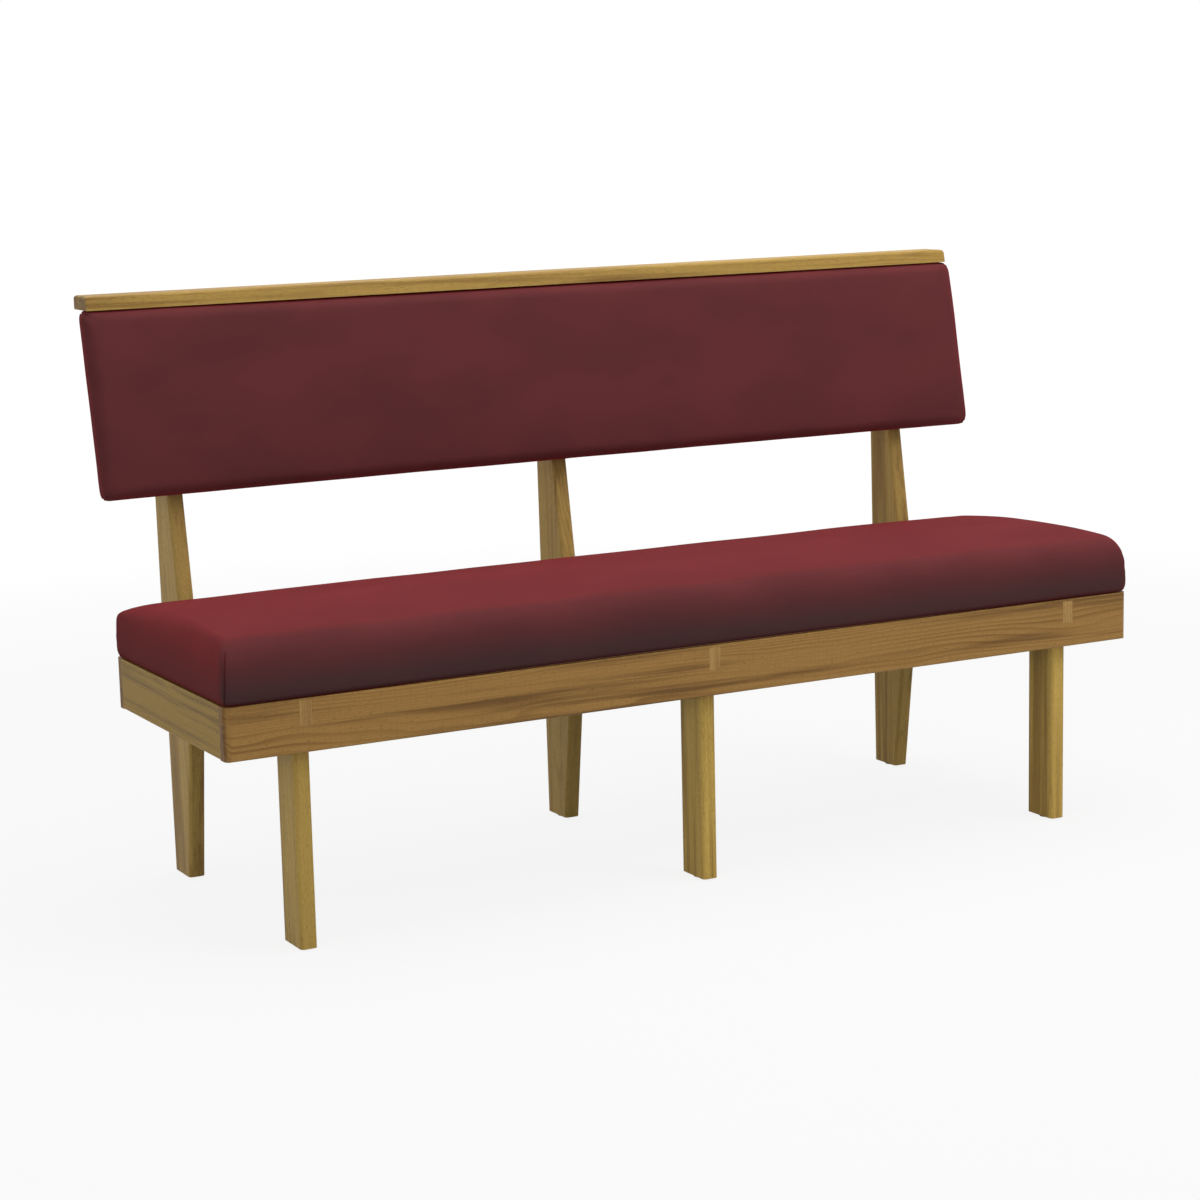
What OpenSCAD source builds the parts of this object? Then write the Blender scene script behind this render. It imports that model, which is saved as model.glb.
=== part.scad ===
// Portable pew: an oak bench with an upholstered seat and back.
// Three leg frames, each a front leg, a bearer and a shaped rear post, carry a box of rails.
// The seat and the back are boards with foam under a sewn fabric cover, and a cap rail
// runs along the top of the back.
// +X runs along the pew, +Y to the back and +Z up. The origin is on the floor, under the
// middle of the pew. Inside the modules, Y starts at the front face of the front rail.

/* [Seat frame] */
// Length over the end rails
frame_length = 1524; // [1100:1:2400]
// Depth over the front and rear rails
frame_depth = 437; // [380:1:520]
// Height of the rails' top edges above the floor
frame_height = 361; // [320:1:420]
// Height of the rails
rail_height = 75; // [68:1:100]
// Thickness of the rails
rail_thickness = 22; // [19:1:30]
// Radius of the frame's corners in plan
frame_corner_radius = 11; // [3:1:16]
// Radius of the rails' lower outer edges
rail_edge_radius = 3; // [1:0.5:6]

/* [Leg frames] */
// Distance from the end of the pew to the middle of an outer leg frame
leg_inset = 117; // [100:1:300]
// Thickness of the legs, bearers and posts along the pew
leg_thickness = 25; // [22:1:35]
// Depth of a front leg from front to back
leg_depth = 64; // [50:1:80]
// Radius of the rounded edges of legs and posts
leg_edge_radius = 6; // [2:0.5:9]
// Height of a bearer
bearer_height = 60; // [55:1:66]

/* [Rear posts] */
// How far the ledge of a post reaches under the rear rail
post_ledge = 14; // [8:1:20]
// Depth of a post at the floor
post_foot_depth = 62; // [50:1:80]
// Distance from the rear rail to the back edge of a post at the floor
post_foot_setback = 85; // [70:1:110]
// Lean of a post's front edge between the seat and the back, in degrees
upright_rake = 9.2; // [6:0.2:14]
// Depth of a post at the lower edge of the back
post_waist_depth = 59; // [50:1:75]
// Depth of a post under the cap rail
post_top_depth = 16; // [14:1:30]

/* [Seat cushion] */
// Thickness of the plywood seat board
seat_board_thickness = 12; // [9:1:18]
// Height of the cushion above the frame behind its front roll
cushion_front_height = 86; // [70:1:110]
// Height of the cushion's crown above the frame
cushion_crown_height = 92; // [75:1:120]
// Height of the cushion above the frame at its rear edge
cushion_back_height = 75; // [65:1:100]
// Radius of the roll along the front edge
cushion_front_roll = 45; // [30:1:60]
// Radius of the roll along the rear edge
cushion_back_roll = 16; // [10:1:30]
// Radius of the roll at the two ends
cushion_end_roll = 40; // [20:1:60]
// How far the cushion's sides stand out past its sewn lower edge
cushion_bulge = 3; // [1:0.5:5]

/* [Back pad] */
// Lean of the back, in degrees
back_rake = 11.6; // [8:0.2:16]
// Height of the back from its lower edge to the underside of the cap rail
back_height = 277.5; // [220:0.5:320]
// Thickness of the padded back without its outer panel
back_pad_thickness = 44; // [38:1:60]
// Thickness of the plywood back board
back_board_thickness = 15; // [12:1:18]
// Thickness of the covered outer back panel
outer_back_thickness = 4; // [3:0.5:6]
// Radius of the roll round the front edges of the pad
back_roll = 16; // [8:1:20]
// How far the middle of the pad stands out past its edges
back_crown = 3; // [1:0.5:6]

/* [Cap rail] */
// Height of the top of the cap rail above the floor
cap_top_height = 884; // [820:1:960]
// Thickness of the cap rail
cap_thickness = 20.5; // [16:0.5:30]
// Depth of the cap rail's underside
cap_depth = 58; // [54:1:75]
// Distance from the pad's face to the front of the cap rail
cap_setback = 8; // [3:1:12]
// Radius of the cap rail's upper edges
cap_edge_radius = 5; // [2:0.5:8]

/* [Upholstery] */
// Thickness of the fabric cover
cover_thickness = 1.2; // [0.8:0.1:2]
// Radius of the sewn corners in plan
cover_corner_radius = 13; // [8:1:18]
// Width of the fabric turned under the boards
cover_return = 28; // [24:1:36]

/* [Hidden] */
$fn = 48;

// Clearances: between loose pieces, round shanks and dowels, and the overrun of cuts
fit_gap = 0.3;
bore_gap = 0.15;
overrun = 1;

// How far a round edge bellies past its faces, which leaves the slight arris of a moulding cutter
edge_arris = 0.15;

// Furniture bolts and their barrel nuts
bolt_diameter = 6;
bolt_head_diameter = 15;
bolt_head_height = 2.5;
bolt_socket = 4;
bolt_socket_depth = 1.8;
bolt_reach = 35;
bolt_drop = 20;
nut_diameter = 10;
nut_length = 18;
nut_setback = 25;
post_bolt_recess = 14;

// Wooden inlays that cover the front bolts
inlay_width = 18;
inlay_height = 34;
inlay_depth = 6;

// Dowels
dowel_diameter = 8;
dowel_drop = 46;
dowel_in_rail = 12;
dowel_in_end = 18;
dowel_in_bearer = 20;
cap_dowel_in_post = 26;
cap_dowel_in_cap = 12;
cap_dowel_diameter = 6;
rail_dowel_shares = [0.25, 0.75];

// Wood screws
screw_diameter = 4;
screw_head_diameter = 8;
screw_head_height = 2.6;
screw_point = 5;
counterbore_diameter = 10;
seat_screw_grip = 35;
seat_screw_bite = 9;
seat_screw_inset = 64;
block_screw_grip = 14;
block_screw_bite = 14;
back_screw_grip = 12;
back_screw_bite = 11;
back_screw_shares = [0.2, 0.72];
plug_length = 6;

// Corner blocks
block_leg = 60;
block_tip = 12;
block_height = 50;
block_screw_share = 0.62;
block_screw_spread = 20;
seat_screw_share = 0.33;

// Nail-on glides
glide_diameter = 20;
glide_height = 3;
glide_rim = 1;
glide_nail_diameter = 2.4;
glide_nail_length = 16;

// Shape of the upholstery
cushion_tuck = 0.5;
cushion_draw_in = 1.5;
cushion_wall_share = 0.5;
cushion_back_bulge_share = 0.5;
crown_place_share = 0.33;
bulge_peak_share = 0.4;
bulge_top_share = 0.6;
corner_growth_share = 0.5;
corner_limit_share = 0.3;
roll_angles = [22, 45, 68, 90];
crown_rings_shares = [0.3, 0.6, 0.88];
end_point_shares = [0, 0.55];
long_point_shares = [-0.8, -0.4, 0, 0.4, 0.8];
corner_step = 22.5;
cap_end_inset = 1.5;
outer_back_inset = 3;

// Heights
rail_bottom = frame_height - rail_height;
bearer_bottom = frame_height - bearer_height;
bolt_height = frame_height - bolt_drop;
dowel_height = frame_height - dowel_drop;
cap_underside = cap_top_height - cap_thickness;
pad_top = cap_underside - fit_gap;
waist_height = cap_underside - back_height;

// Places along the pew, at the middle of each leg frame
frame_places = [leg_inset - frame_length / 2, 0, frame_length / 2 - leg_inset];

// Places from front to back
leg_front = rail_thickness;
leg_back = leg_front + leg_depth;
rear_rail_front = frame_depth - rail_thickness;

// Side view of a post, as points of [distance back, height]
foot_back = [frame_depth + post_foot_setback, glide_height];
foot_front = [foot_back.x - post_foot_depth, glide_height];
knee = [frame_depth - post_ledge, rail_bottom];
notch_foot = [frame_depth, rail_bottom];
notch_head = [frame_depth, frame_height];
waist_front = [frame_depth + (waist_height - frame_height) * tan(upright_rake), waist_height];
waist_back = [waist_front.x + post_waist_depth, waist_height];
top_front = [waist_front.x + back_height * tan(back_rake), cap_underside];
top_back = [top_front.x + post_top_depth, cap_underside];

// The pad, measured up its lean from the lower edge of the outer panel
pad_rise = (pad_top - waist_height) / cos(back_rake);
pad_height = pad_rise - outer_back_thickness * tan(back_rake);
pad_face = outer_back_thickness + back_pad_thickness;
pad_top_front = waist_front.x + pad_rise * sin(back_rake)
    - pad_face * (cos(back_rake) + sin(back_rake) * tan(back_rake));

// The cap rail
cap_front = pad_top_front + cap_setback;
cap_back = cap_front + cap_depth;
cap_lean = cap_thickness * tan(back_rake);

// The middle of the pew from front to back
front_reach = cushion_tuck - cushion_bulge;
middle_place = (front_reach + max(cap_back, foot_back.x)) / 2;

// Places of the screws up into the seat board
bearer_screw_places = [
    for (x = frame_places, y = [leg_back + seat_screw_inset, rear_rail_front - seat_screw_inset]) [x, y]
];
block_corner = [frame_length / 2 - rail_thickness, frame_depth / 2 - rail_thickness];
block_screw_place = block_leg * seat_screw_share;
block_seat_inset = block_corner - block_screw_place * [1, 1];
block_seat_places = [
    for (sx = [-1, 1], sy = [-1, 1]) [sx * block_seat_inset.x, frame_depth / 2 + sy * block_seat_inset.y]
];
seat_screw_places = concat(bearer_screw_places, block_seat_places);

// Hole that clears a round shank or dowel
function bore(diameter) = diameter + 2 * bore_gap;

// Point on a line between two points at a given height
function at_height(a, b, z) = a.x + (b.x - a.x) * (z - a.y) / (b.y - a.y);

// Lean of a line from the upright
function lean_of(a, b) = atan2(b.x - a.x, b.y - a.y);

// Distance from a point to a line, measured along a direction
function reach(from, direction, start, finish) =
    cross(start - from, finish - start) / cross(direction, finish - start);

post_back_at_bolt = at_height(foot_back, waist_back, bolt_height);
rear_bolt_seat = post_back_at_bolt - post_bolt_recess;
front_bolt_seat = inlay_depth + fit_gap + bolt_head_height;

// Moves a piece from its own Y to the pew's middle
module placed() {
    translate([0, -middle_place, 0]) children();
}

// Puts a piece on the front edge of the posts, lying along the lean of the back
module on_back() {
    translate([0, waist_front.x, waist_front.y]) rotate([90 - back_rake, 0, 0]) children();
}

// Round hole or dowel along Y
module along_y(x, z, from, to, diameter) {
    translate([x, from, z]) rotate([-90, 0, 0]) cylinder(h = to - from, d = diameter);
}

// Rectangle about the origin with round corners
module rounded_rectangle(width, depth, radius) {
    square([width, depth - 2 * radius], center = true);
    square([width - 2 * radius, depth], center = true);
    for (sx = [-1, 1], sy = [-1, 1]) {
        translate([sx * (width / 2 - radius), sy * (depth / 2 - radius)]) circle(radius);
    }
}

// Waste outside a round edge whose corner is at the origin and whose wood is at +X +Y
module edge_waste(radius) {
    difference() {
        translate([-overrun, -overrun]) square(radius + overrun);
        translate([radius, radius]) circle(radius + edge_arris);
    }
}

// Wood screw pointing along +Z with the underside of its head at the origin
module wood_screw(length) {
    shank = screw_diameter / 2;
    head = screw_head_diameter / 2;
    rotate_extrude() polygon([
        [0, -screw_head_height],
        [shank, -screw_head_height],
        [head, -screw_head_height / 2],
        [head, 0],
        [shank, 0],
        [shank, length - screw_point],
        [0, length]
    ]);
}

// Furniture bolt along +Z with the underside of its flat head at the origin
module furniture_bolt(length) {
    difference() {
        union() {
            translate([0, 0, -bolt_head_height]) cylinder(h = bolt_head_height, d = bolt_head_diameter);
            cylinder(h = length, d = bolt_diameter);
        }
        translate([0, 0, -bolt_head_height - overrun])
            cylinder(h = bolt_socket_depth + overrun, d = bolt_socket / cos(30), $fn = 6);
    }
}

// Rail with its outer face at Y = 0, its inner face at +Y and round outer corners
module long_rail() {
    difference() {
        linear_extrude(rail_height) difference() {
            translate([-frame_length / 2, 0]) square([frame_length, rail_thickness]);
            for (side = [0, 1]) {
                mirror([side, 0]) translate([-frame_length / 2, 0]) edge_waste(frame_corner_radius);
            }
        }
        translate([-frame_length / 2 - overrun, 0, 0]) rotate([90, 0, 90])
            linear_extrude(frame_length + 2 * overrun) edge_waste(rail_edge_radius);
    }
}

// Dowel holes for the end rails in the inner face of a long rail
module end_rail_dowels(from, to, diameter) {
    for (side = [-1, 1], share = rail_dowel_shares) {
        along_y(
            side * (frame_length - rail_thickness) / 2, rail_bottom + share * rail_height,
            from, to, diameter
        );
    }
}

// Puts a piece drawn at an inner corner, with the rails along +X and +Y, at all four corners
module at_corners() {
    for (sx = [0, 1], sy = [0, 1]) {
        translate([0, frame_depth / 2, 0]) mirror([sx, 0, 0]) mirror([0, sy, 0])
            translate([-block_corner.x, -block_corner.y, 0]) children();
    }
}

// The two screws from a corner block into its rails, as shapes given along +Z from their seat
module at_block_screws() {
    along = block_leg * block_screw_share;
    middle = frame_height - block_height / 2;
    translate([along, block_screw_grip, middle + block_screw_spread / 2]) rotate([90, 0, 0]) children();
    translate([block_screw_grip, along, middle - block_screw_spread / 2]) rotate([0, -90, 0]) children();
}

// Holes in the rails for the ends of the corner blocks' screws
module block_screw_holes() {
    at_corners() at_block_screws()
        cylinder(h = block_screw_grip + block_screw_bite + fit_gap, d = bore(screw_diameter));
}

module front_rail() placed() color("#a07c42") {
    difference() {
        translate([0, 0, rail_bottom]) long_rail();
        block_screw_holes();
        end_rail_dowels(rail_thickness - dowel_in_rail, rail_thickness + overrun, bore(dowel_diameter));
        for (x = frame_places) {
            along_y(x, dowel_height, rail_thickness - dowel_in_rail, rail_thickness + overrun,
                bore(dowel_diameter));
            along_y(x, bolt_height, 0, rail_thickness + overrun, bore(bolt_diameter));
            along_y(x, bolt_height, 0, front_bolt_seat, bore(bolt_head_diameter));
            translate([x - inlay_width / 2 - bore_gap, -overrun, bolt_height - inlay_height / 2 - bore_gap])
                cube([inlay_width + 2 * bore_gap, inlay_depth + overrun, inlay_height + 2 * bore_gap]);
        }
    }
}

module rear_rail() placed() color("#a07c42") {
    difference() {
        translate([0, frame_depth, rail_bottom]) mirror([0, 1, 0]) long_rail();
        block_screw_holes();
        end_rail_dowels(rear_rail_front - overrun, rear_rail_front + dowel_in_rail, bore(dowel_diameter));
        for (x = frame_places) {
            along_y(x, dowel_height, rear_rail_front - overrun, frame_depth + overrun,
                bore(dowel_diameter));
            along_y(x, bolt_height, rear_rail_front - overrun, frame_depth + overrun,
                bore(bolt_diameter));
        }
    }
}

// End rail between the two long rails, on the left side
module end_rail() {
    difference() {
        translate([-frame_length / 2, rail_thickness, rail_bottom])
            cube([rail_thickness, rear_rail_front - rail_thickness, rail_height]);
        translate([-frame_length / 2, rail_thickness - overrun, rail_bottom]) mirror([0, 1, 0])
            rotate([90, 0, 0]) linear_extrude(rear_rail_front - rail_thickness + 2 * overrun)
            edge_waste(rail_edge_radius);
        block_screw_holes();
        end_rail_dowels(rail_thickness - overrun, rail_thickness + dowel_in_end, bore(dowel_diameter));
        end_rail_dowels(rear_rail_front - dowel_in_end, rear_rail_front + overrun, bore(dowel_diameter));
    }
}

module left_end_rail() placed() color("#96733c") end_rail();

module right_end_rail() placed() color("#96733c") mirror([1, 0, 0]) end_rail();

// Hole in the foot of a leg for the nail of its glide
module nail_hole(y) {
    translate([0, y, glide_height - overrun])
        cylinder(h = glide_nail_length + overrun, d = bore(glide_nail_diameter));
}

module front_leg(x) {
    translate([x, 0, 0]) difference() {
        translate([0, leg_front + leg_depth / 2, glide_height])
            linear_extrude(frame_height - glide_height)
            rounded_rectangle(leg_thickness, leg_depth, leg_edge_radius);
        along_y(0, bolt_height, leg_front - overrun, leg_back + overrun, bore(bolt_diameter));
        along_y(0, dowel_height, leg_front - overrun, leg_front + dowel_in_end, bore(dowel_diameter));
        along_y(0, dowel_height, leg_back - dowel_in_end, leg_back + overrun, bore(dowel_diameter));
        nail_hole(leg_front + leg_depth / 2);
    }
}

module left_front_leg() placed() color("#a98746") front_leg(frame_places[0]);

module middle_front_leg() placed() color("#a98746") front_leg(frame_places[1]);

module right_front_leg() placed() color("#a98746") front_leg(frame_places[2]);

// Waste outside the round edges of a post along one stretch of its side view
module post_edge_waste(start, finish, front, lead, tail) {
    translate([0, start.x, start.y]) rotate([-lean_of(start, finish), 0, 0])
        for (side = [0, 1]) {
            mirror([side, 0, 0]) translate([-leg_thickness / 2, 0, -lead])
                linear_extrude(norm(finish - start) + lead + tail)
                mirror([0, front ? 0 : 1]) edge_waste(leg_edge_radius);
        }
}

// The same along the whole back edge, mitred where its two leans meet
module post_back_waste() {
    mitre = (lean_of(foot_back, waist_back) + lean_of(waist_back, top_back)) / 2;
    for (run = [[foot_back, waist_back, -1], [waist_back, top_back, 0]]) intersection() {
        post_edge_waste(run[0], run[1], false, overrun, overrun);
        translate([0, waist_back.x, waist_back.y]) rotate([-mitre, 0, 0])
            translate([-leg_thickness, -post_waist_depth, run[2] * waist_height])
            cube([2 * leg_thickness, 2 * post_waist_depth, waist_height]);
    }
}

// Straight tapered board of the post with its notch for the rear rail
module post_blank() {
    translate([-leg_thickness / 2, 0, 0]) rotate([90, 0, 90]) linear_extrude(leg_thickness)
        polygon([
            foot_front, knee, notch_foot, notch_head, waist_front,
            top_front, top_back, waist_back, foot_back
        ]);
}

// Places of the back screws up the lean of the back
back_screw_places = [for (share = back_screw_shares) share * pad_rise];

// Thickness of the post behind a place on the back, square to the back
function post_thickness_at(place) = reach(
    waist_front + place * [sin(back_rake), cos(back_rake)],
    [cos(back_rake), -sin(back_rake)],
    waist_back, top_back
);

module rear_post(x) {
    translate([x, 0, 0]) difference() {
        post_blank();
        post_edge_waste(foot_front, knee, true, overrun, overrun);
        post_edge_waste(notch_head, waist_front, true, 0, overrun);
        post_back_waste();
        along_y(0, bolt_height, frame_depth - overrun, foot_back.x, bore(bolt_diameter));
        along_y(0, bolt_height, rear_bolt_seat, waist_back.x + overrun, bore(bolt_head_diameter));
        along_y(0, dowel_height, frame_depth - overrun, frame_depth + dowel_in_end,
            bore(dowel_diameter));
        nail_hole((foot_front.x + foot_back.x) / 2);
        cap_dowel_hole();
        on_back() for (place = back_screw_places) {
            translate([0, place, -back_screw_grip - overrun])
                cylinder(h = back_screw_grip + 2 * overrun, d = bore(screw_diameter));
            translate([0, place, -post_waist_depth - overrun])
                cylinder(h = post_waist_depth + overrun - back_screw_grip, d = bore(counterbore_diameter));
        }
    }
}

module left_rear_post() placed() color("#96733c") rear_post(frame_places[0]);

module middle_rear_post() placed() color("#96733c") rear_post(frame_places[1]);

module right_rear_post() placed() color("#96733c") rear_post(frame_places[2]);

module bearer(x) {
    translate([x, 0, 0]) difference() {
        translate([-leg_thickness / 2, leg_back, bearer_bottom])
            cube([leg_thickness, rear_rail_front - leg_back, bearer_height]);
        along_y(0, bolt_height, leg_back - overrun, leg_back + bolt_reach + overrun,
            bore(bolt_diameter));
        along_y(0, bolt_height, rear_rail_front - bolt_reach - overrun, rear_rail_front + overrun,
            bore(bolt_diameter));
        along_y(0, dowel_height, leg_back - overrun, leg_back + dowel_in_bearer, bore(dowel_diameter));
        along_y(0, dowel_height, rear_rail_front - dowel_in_bearer, rear_rail_front + overrun,
            bore(dowel_diameter));
        for (y = [leg_back + nut_setback, rear_rail_front - nut_setback]) {
            translate([-leg_thickness / 2 - overrun, y, bolt_height]) rotate([0, 90, 0])
                cylinder(h = leg_thickness + 2 * overrun, d = bore(nut_diameter));
        }
        for (y = [leg_back + seat_screw_inset, rear_rail_front - seat_screw_inset]) {
            translate([0, y, bearer_bottom - overrun])
                cylinder(h = bearer_height + 2 * overrun, d = bore(screw_diameter));
            translate([0, y, bearer_bottom - overrun])
                cylinder(h = bearer_height - seat_screw_grip + overrun, d = counterbore_diameter);
        }
    }
}

module left_bearer() placed() color("#8c6d3a") bearer(frame_places[0]);

module middle_bearer() placed() color("#8c6d3a") bearer(frame_places[1]);

module right_bearer() placed() color("#8c6d3a") bearer(frame_places[2]);

module corner_blocks() placed() color("#8c6d3a") {
    at_corners() difference() {
        translate([0, 0, frame_height - block_height]) linear_extrude(block_height)
            polygon([
                [0, 0], [block_leg, 0], [block_leg, block_tip], [block_tip, block_leg], [0, block_leg]
            ]);
        at_block_screws() union() {
            translate([0, 0, -block_leg]) cylinder(h = block_leg, d = counterbore_diameter);
            translate([0, 0, -overrun])
                cylinder(h = block_screw_grip + 2 * overrun, d = bore(screw_diameter));
        }
        translate([block_screw_place, block_screw_place, frame_height - block_height - overrun]) {
            cylinder(h = block_height + 2 * overrun, d = bore(screw_diameter));
            cylinder(h = block_height - seat_screw_grip + overrun, d = counterbore_diameter);
        }
    }
}

module front_inlays() placed() color("#b58f52") {
    for (x = frame_places) {
        translate([x - inlay_width / 2, 0, bolt_height - inlay_height / 2])
            cube([inlay_width, inlay_depth, inlay_height]);
    }
}

module front_bolts() placed() color("#9a9a98") {
    for (x = frame_places) {
        translate([x, front_bolt_seat, bolt_height]) rotate([-90, 0, 0])
            furniture_bolt(leg_back + bolt_reach - front_bolt_seat);
    }
}

module rear_bolts() placed() color("#9a9a98") {
    for (x = frame_places) {
        translate([x, rear_bolt_seat, bolt_height]) rotate([90, 0, 0])
            furniture_bolt(rear_bolt_seat - rear_rail_front + bolt_reach);
    }
}

module barrel_nuts() placed() color("#8a8a88") {
    for (x = frame_places, y = [leg_back + nut_setback, rear_rail_front - nut_setback]) {
        difference() {
            translate([x - nut_length / 2, y, bolt_height]) rotate([0, 90, 0])
                cylinder(h = nut_length, d = nut_diameter);
            along_y(x, bolt_height, y - nut_diameter, y + nut_diameter, bore(bolt_diameter));
        }
    }
}

module rail_dowels() placed() color("#c9a86a") {
    end_rail_dowels(rail_thickness - dowel_in_rail, rail_thickness + dowel_in_end, dowel_diameter);
    end_rail_dowels(rear_rail_front - dowel_in_end, rear_rail_front + dowel_in_rail, dowel_diameter);
    for (x = frame_places) {
        along_y(
            x, dowel_height, rail_thickness - dowel_in_rail, rail_thickness + dowel_in_end, dowel_diameter
        );
    }
}

module bearer_dowels() placed() color("#c9a86a") {
    for (x = frame_places) {
        along_y(x, dowel_height, leg_back - dowel_in_end, leg_back + dowel_in_bearer, dowel_diameter);
    }
}

module post_dowels() placed() color("#c9a86a") {
    for (x = frame_places) {
        along_y(
            x, dowel_height, rear_rail_front - dowel_in_bearer, frame_depth + dowel_in_end, dowel_diameter
        );
    }
}

// The cap dowel stands where it has wood on both sides down to its foot
cap_dowel_foot = cap_underside - cap_dowel_in_post;
cap_dowel_place = (
    at_height(waist_front, top_front, cap_underside) + at_height(waist_back, top_back, cap_dowel_foot)
) / 2;

module cap_dowel_hole() {
    translate([0, cap_dowel_place, cap_dowel_foot])
        cylinder(h = cap_dowel_in_post + overrun, d = bore(cap_dowel_diameter));
}

module cap_dowels() placed() color("#c9a86a") {
    for (x = frame_places) {
        translate([x, cap_dowel_place, cap_dowel_foot])
            cylinder(h = cap_dowel_in_post + cap_dowel_in_cap, d = cap_dowel_diameter);
    }
}

module block_screws() placed() color("#b9b2a0") {
    at_corners() at_block_screws() wood_screw(block_screw_grip + block_screw_bite);
}

module seat_screws() placed() color("#b9b2a0") {
    for (place = seat_screw_places) {
        translate([place.x, place.y, frame_height - seat_screw_grip])
            wood_screw(seat_screw_grip + cover_thickness + seat_screw_bite);
    }
}

module back_screws() placed() color("#b9b2a0") {
    on_back() for (x = frame_places, place = back_screw_places) {
        translate([x, place, -back_screw_grip])
            wood_screw(back_screw_grip + outer_back_thickness + cover_thickness + back_screw_bite);
    }
}

module back_plugs() placed() color("#a98746") {
    for (x = frame_places) {
        intersection() {
            translate([x, 0, 0]) post_blank();
            on_back() for (place = back_screw_places) {
                translate([x, place, -post_waist_depth])
                    cylinder(
                    h = post_waist_depth - post_thickness_at(place) + plug_length,
                    d = counterbore_diameter
                );
            }
        }
    }
}

// Seat board, lying on the turned-under cover
board_inset = cushion_tuck + cover_thickness + cushion_draw_in + fit_gap;

module seat_board() placed() color("#cbb184") {
    difference() {
        translate([0, frame_depth / 2, frame_height + cover_thickness])
            linear_extrude(seat_board_thickness)
            rounded_rectangle(
                frame_length - 2 * board_inset, frame_depth - 2 * board_inset, cover_corner_radius
            );
        for (place = seat_screw_places) {
            translate([place.x, place.y, frame_height])
                cylinder(h = cover_thickness + seat_screw_bite + fit_gap, d = bore(screw_diameter));
        }
    }
}

module dust_cover() placed() color("#2b2b2b") {
    inset = cushion_tuck + cover_return + fit_gap;
    difference() {
        translate([0, frame_depth / 2, frame_height]) linear_extrude(cover_thickness)
            rounded_rectangle(frame_length - 2 * inset, frame_depth - 2 * inset, cover_corner_radius);
        for (place = seat_screw_places) {
            translate([place.x, place.y, frame_height - overrun])
                cylinder(h = cover_thickness + 2 * overrun, d = bore(screw_diameter));
        }
    }
}

// Half of a loop round a pad seen in plan, from the middle of its left end along the front
// to the middle of its right end. Each row places a point by the straight sides first,
// then by the round corner: [side x, side y, corner x, corner y]
half_loop = concat(
    [for (share = end_point_shares) [-1, -share, -1, 0]],
    [for (turn = [0 : corner_step : 90]) [-1, -1, -cos(turn), -sin(turn)]],
    [for (share = long_point_shares) [share, -1, 0, -1]],
    [for (turn = [90 : -corner_step : 0]) [1, -1, cos(turn), -sin(turn)]],
    [for (i = [len(end_point_shares) - 1 : -1 : 0]) [1, -end_point_shares[i], 1, 0]]
);
half_count = len(half_loop);
loop_count = 2 * half_count - 2;
full_loop = concat(
    half_loop,
    [for (i = [half_count - 2 : -1 : 1]) [for (j = [0 : 3]) j % 2 == 1 ? -half_loop[i][j] : half_loop[i][j]]]
);

// Solid through a row of loops of the same count, closed at its first and last loop
module lofted(loops) {
    bands = [
        for (k = [0 : len(loops) - 2], i = [0 : loop_count - 1])
            let (a = k * loop_count + i, b = k * loop_count + (i + 1) % loop_count)
            each [[a, b + loop_count, b], [a, a + loop_count, b + loop_count]]
    ];
    // Fans at the two ends of the closing face, and a ladder between them
    ends = len(end_point_shares);
    left = ends + 1;
    right = half_count - ends - 2;
    closing = concat(
        [for (i = [loop_count - left : loop_count + ends - 1]) [i % loop_count, (i + 1) % loop_count, left]],
        [for (i = [left : right - 1]) each [
            [i, i + 1, loop_count - i - 1],
            [i, loop_count - i - 1, loop_count - i]
        ]],
        [for (i = [right + 1 : half_count + ends - 1]) [i, i + 1, right]]
    );
    last = (len(loops) - 1) * loop_count;
    polyhedron(
        points = [for (loop = loops) each loop],
        faces = concat(
            closing,
            bands,
            [for (face = closing) [last + face[0], last + face[2], last + face[1]]]
        )
    );
}

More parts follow.
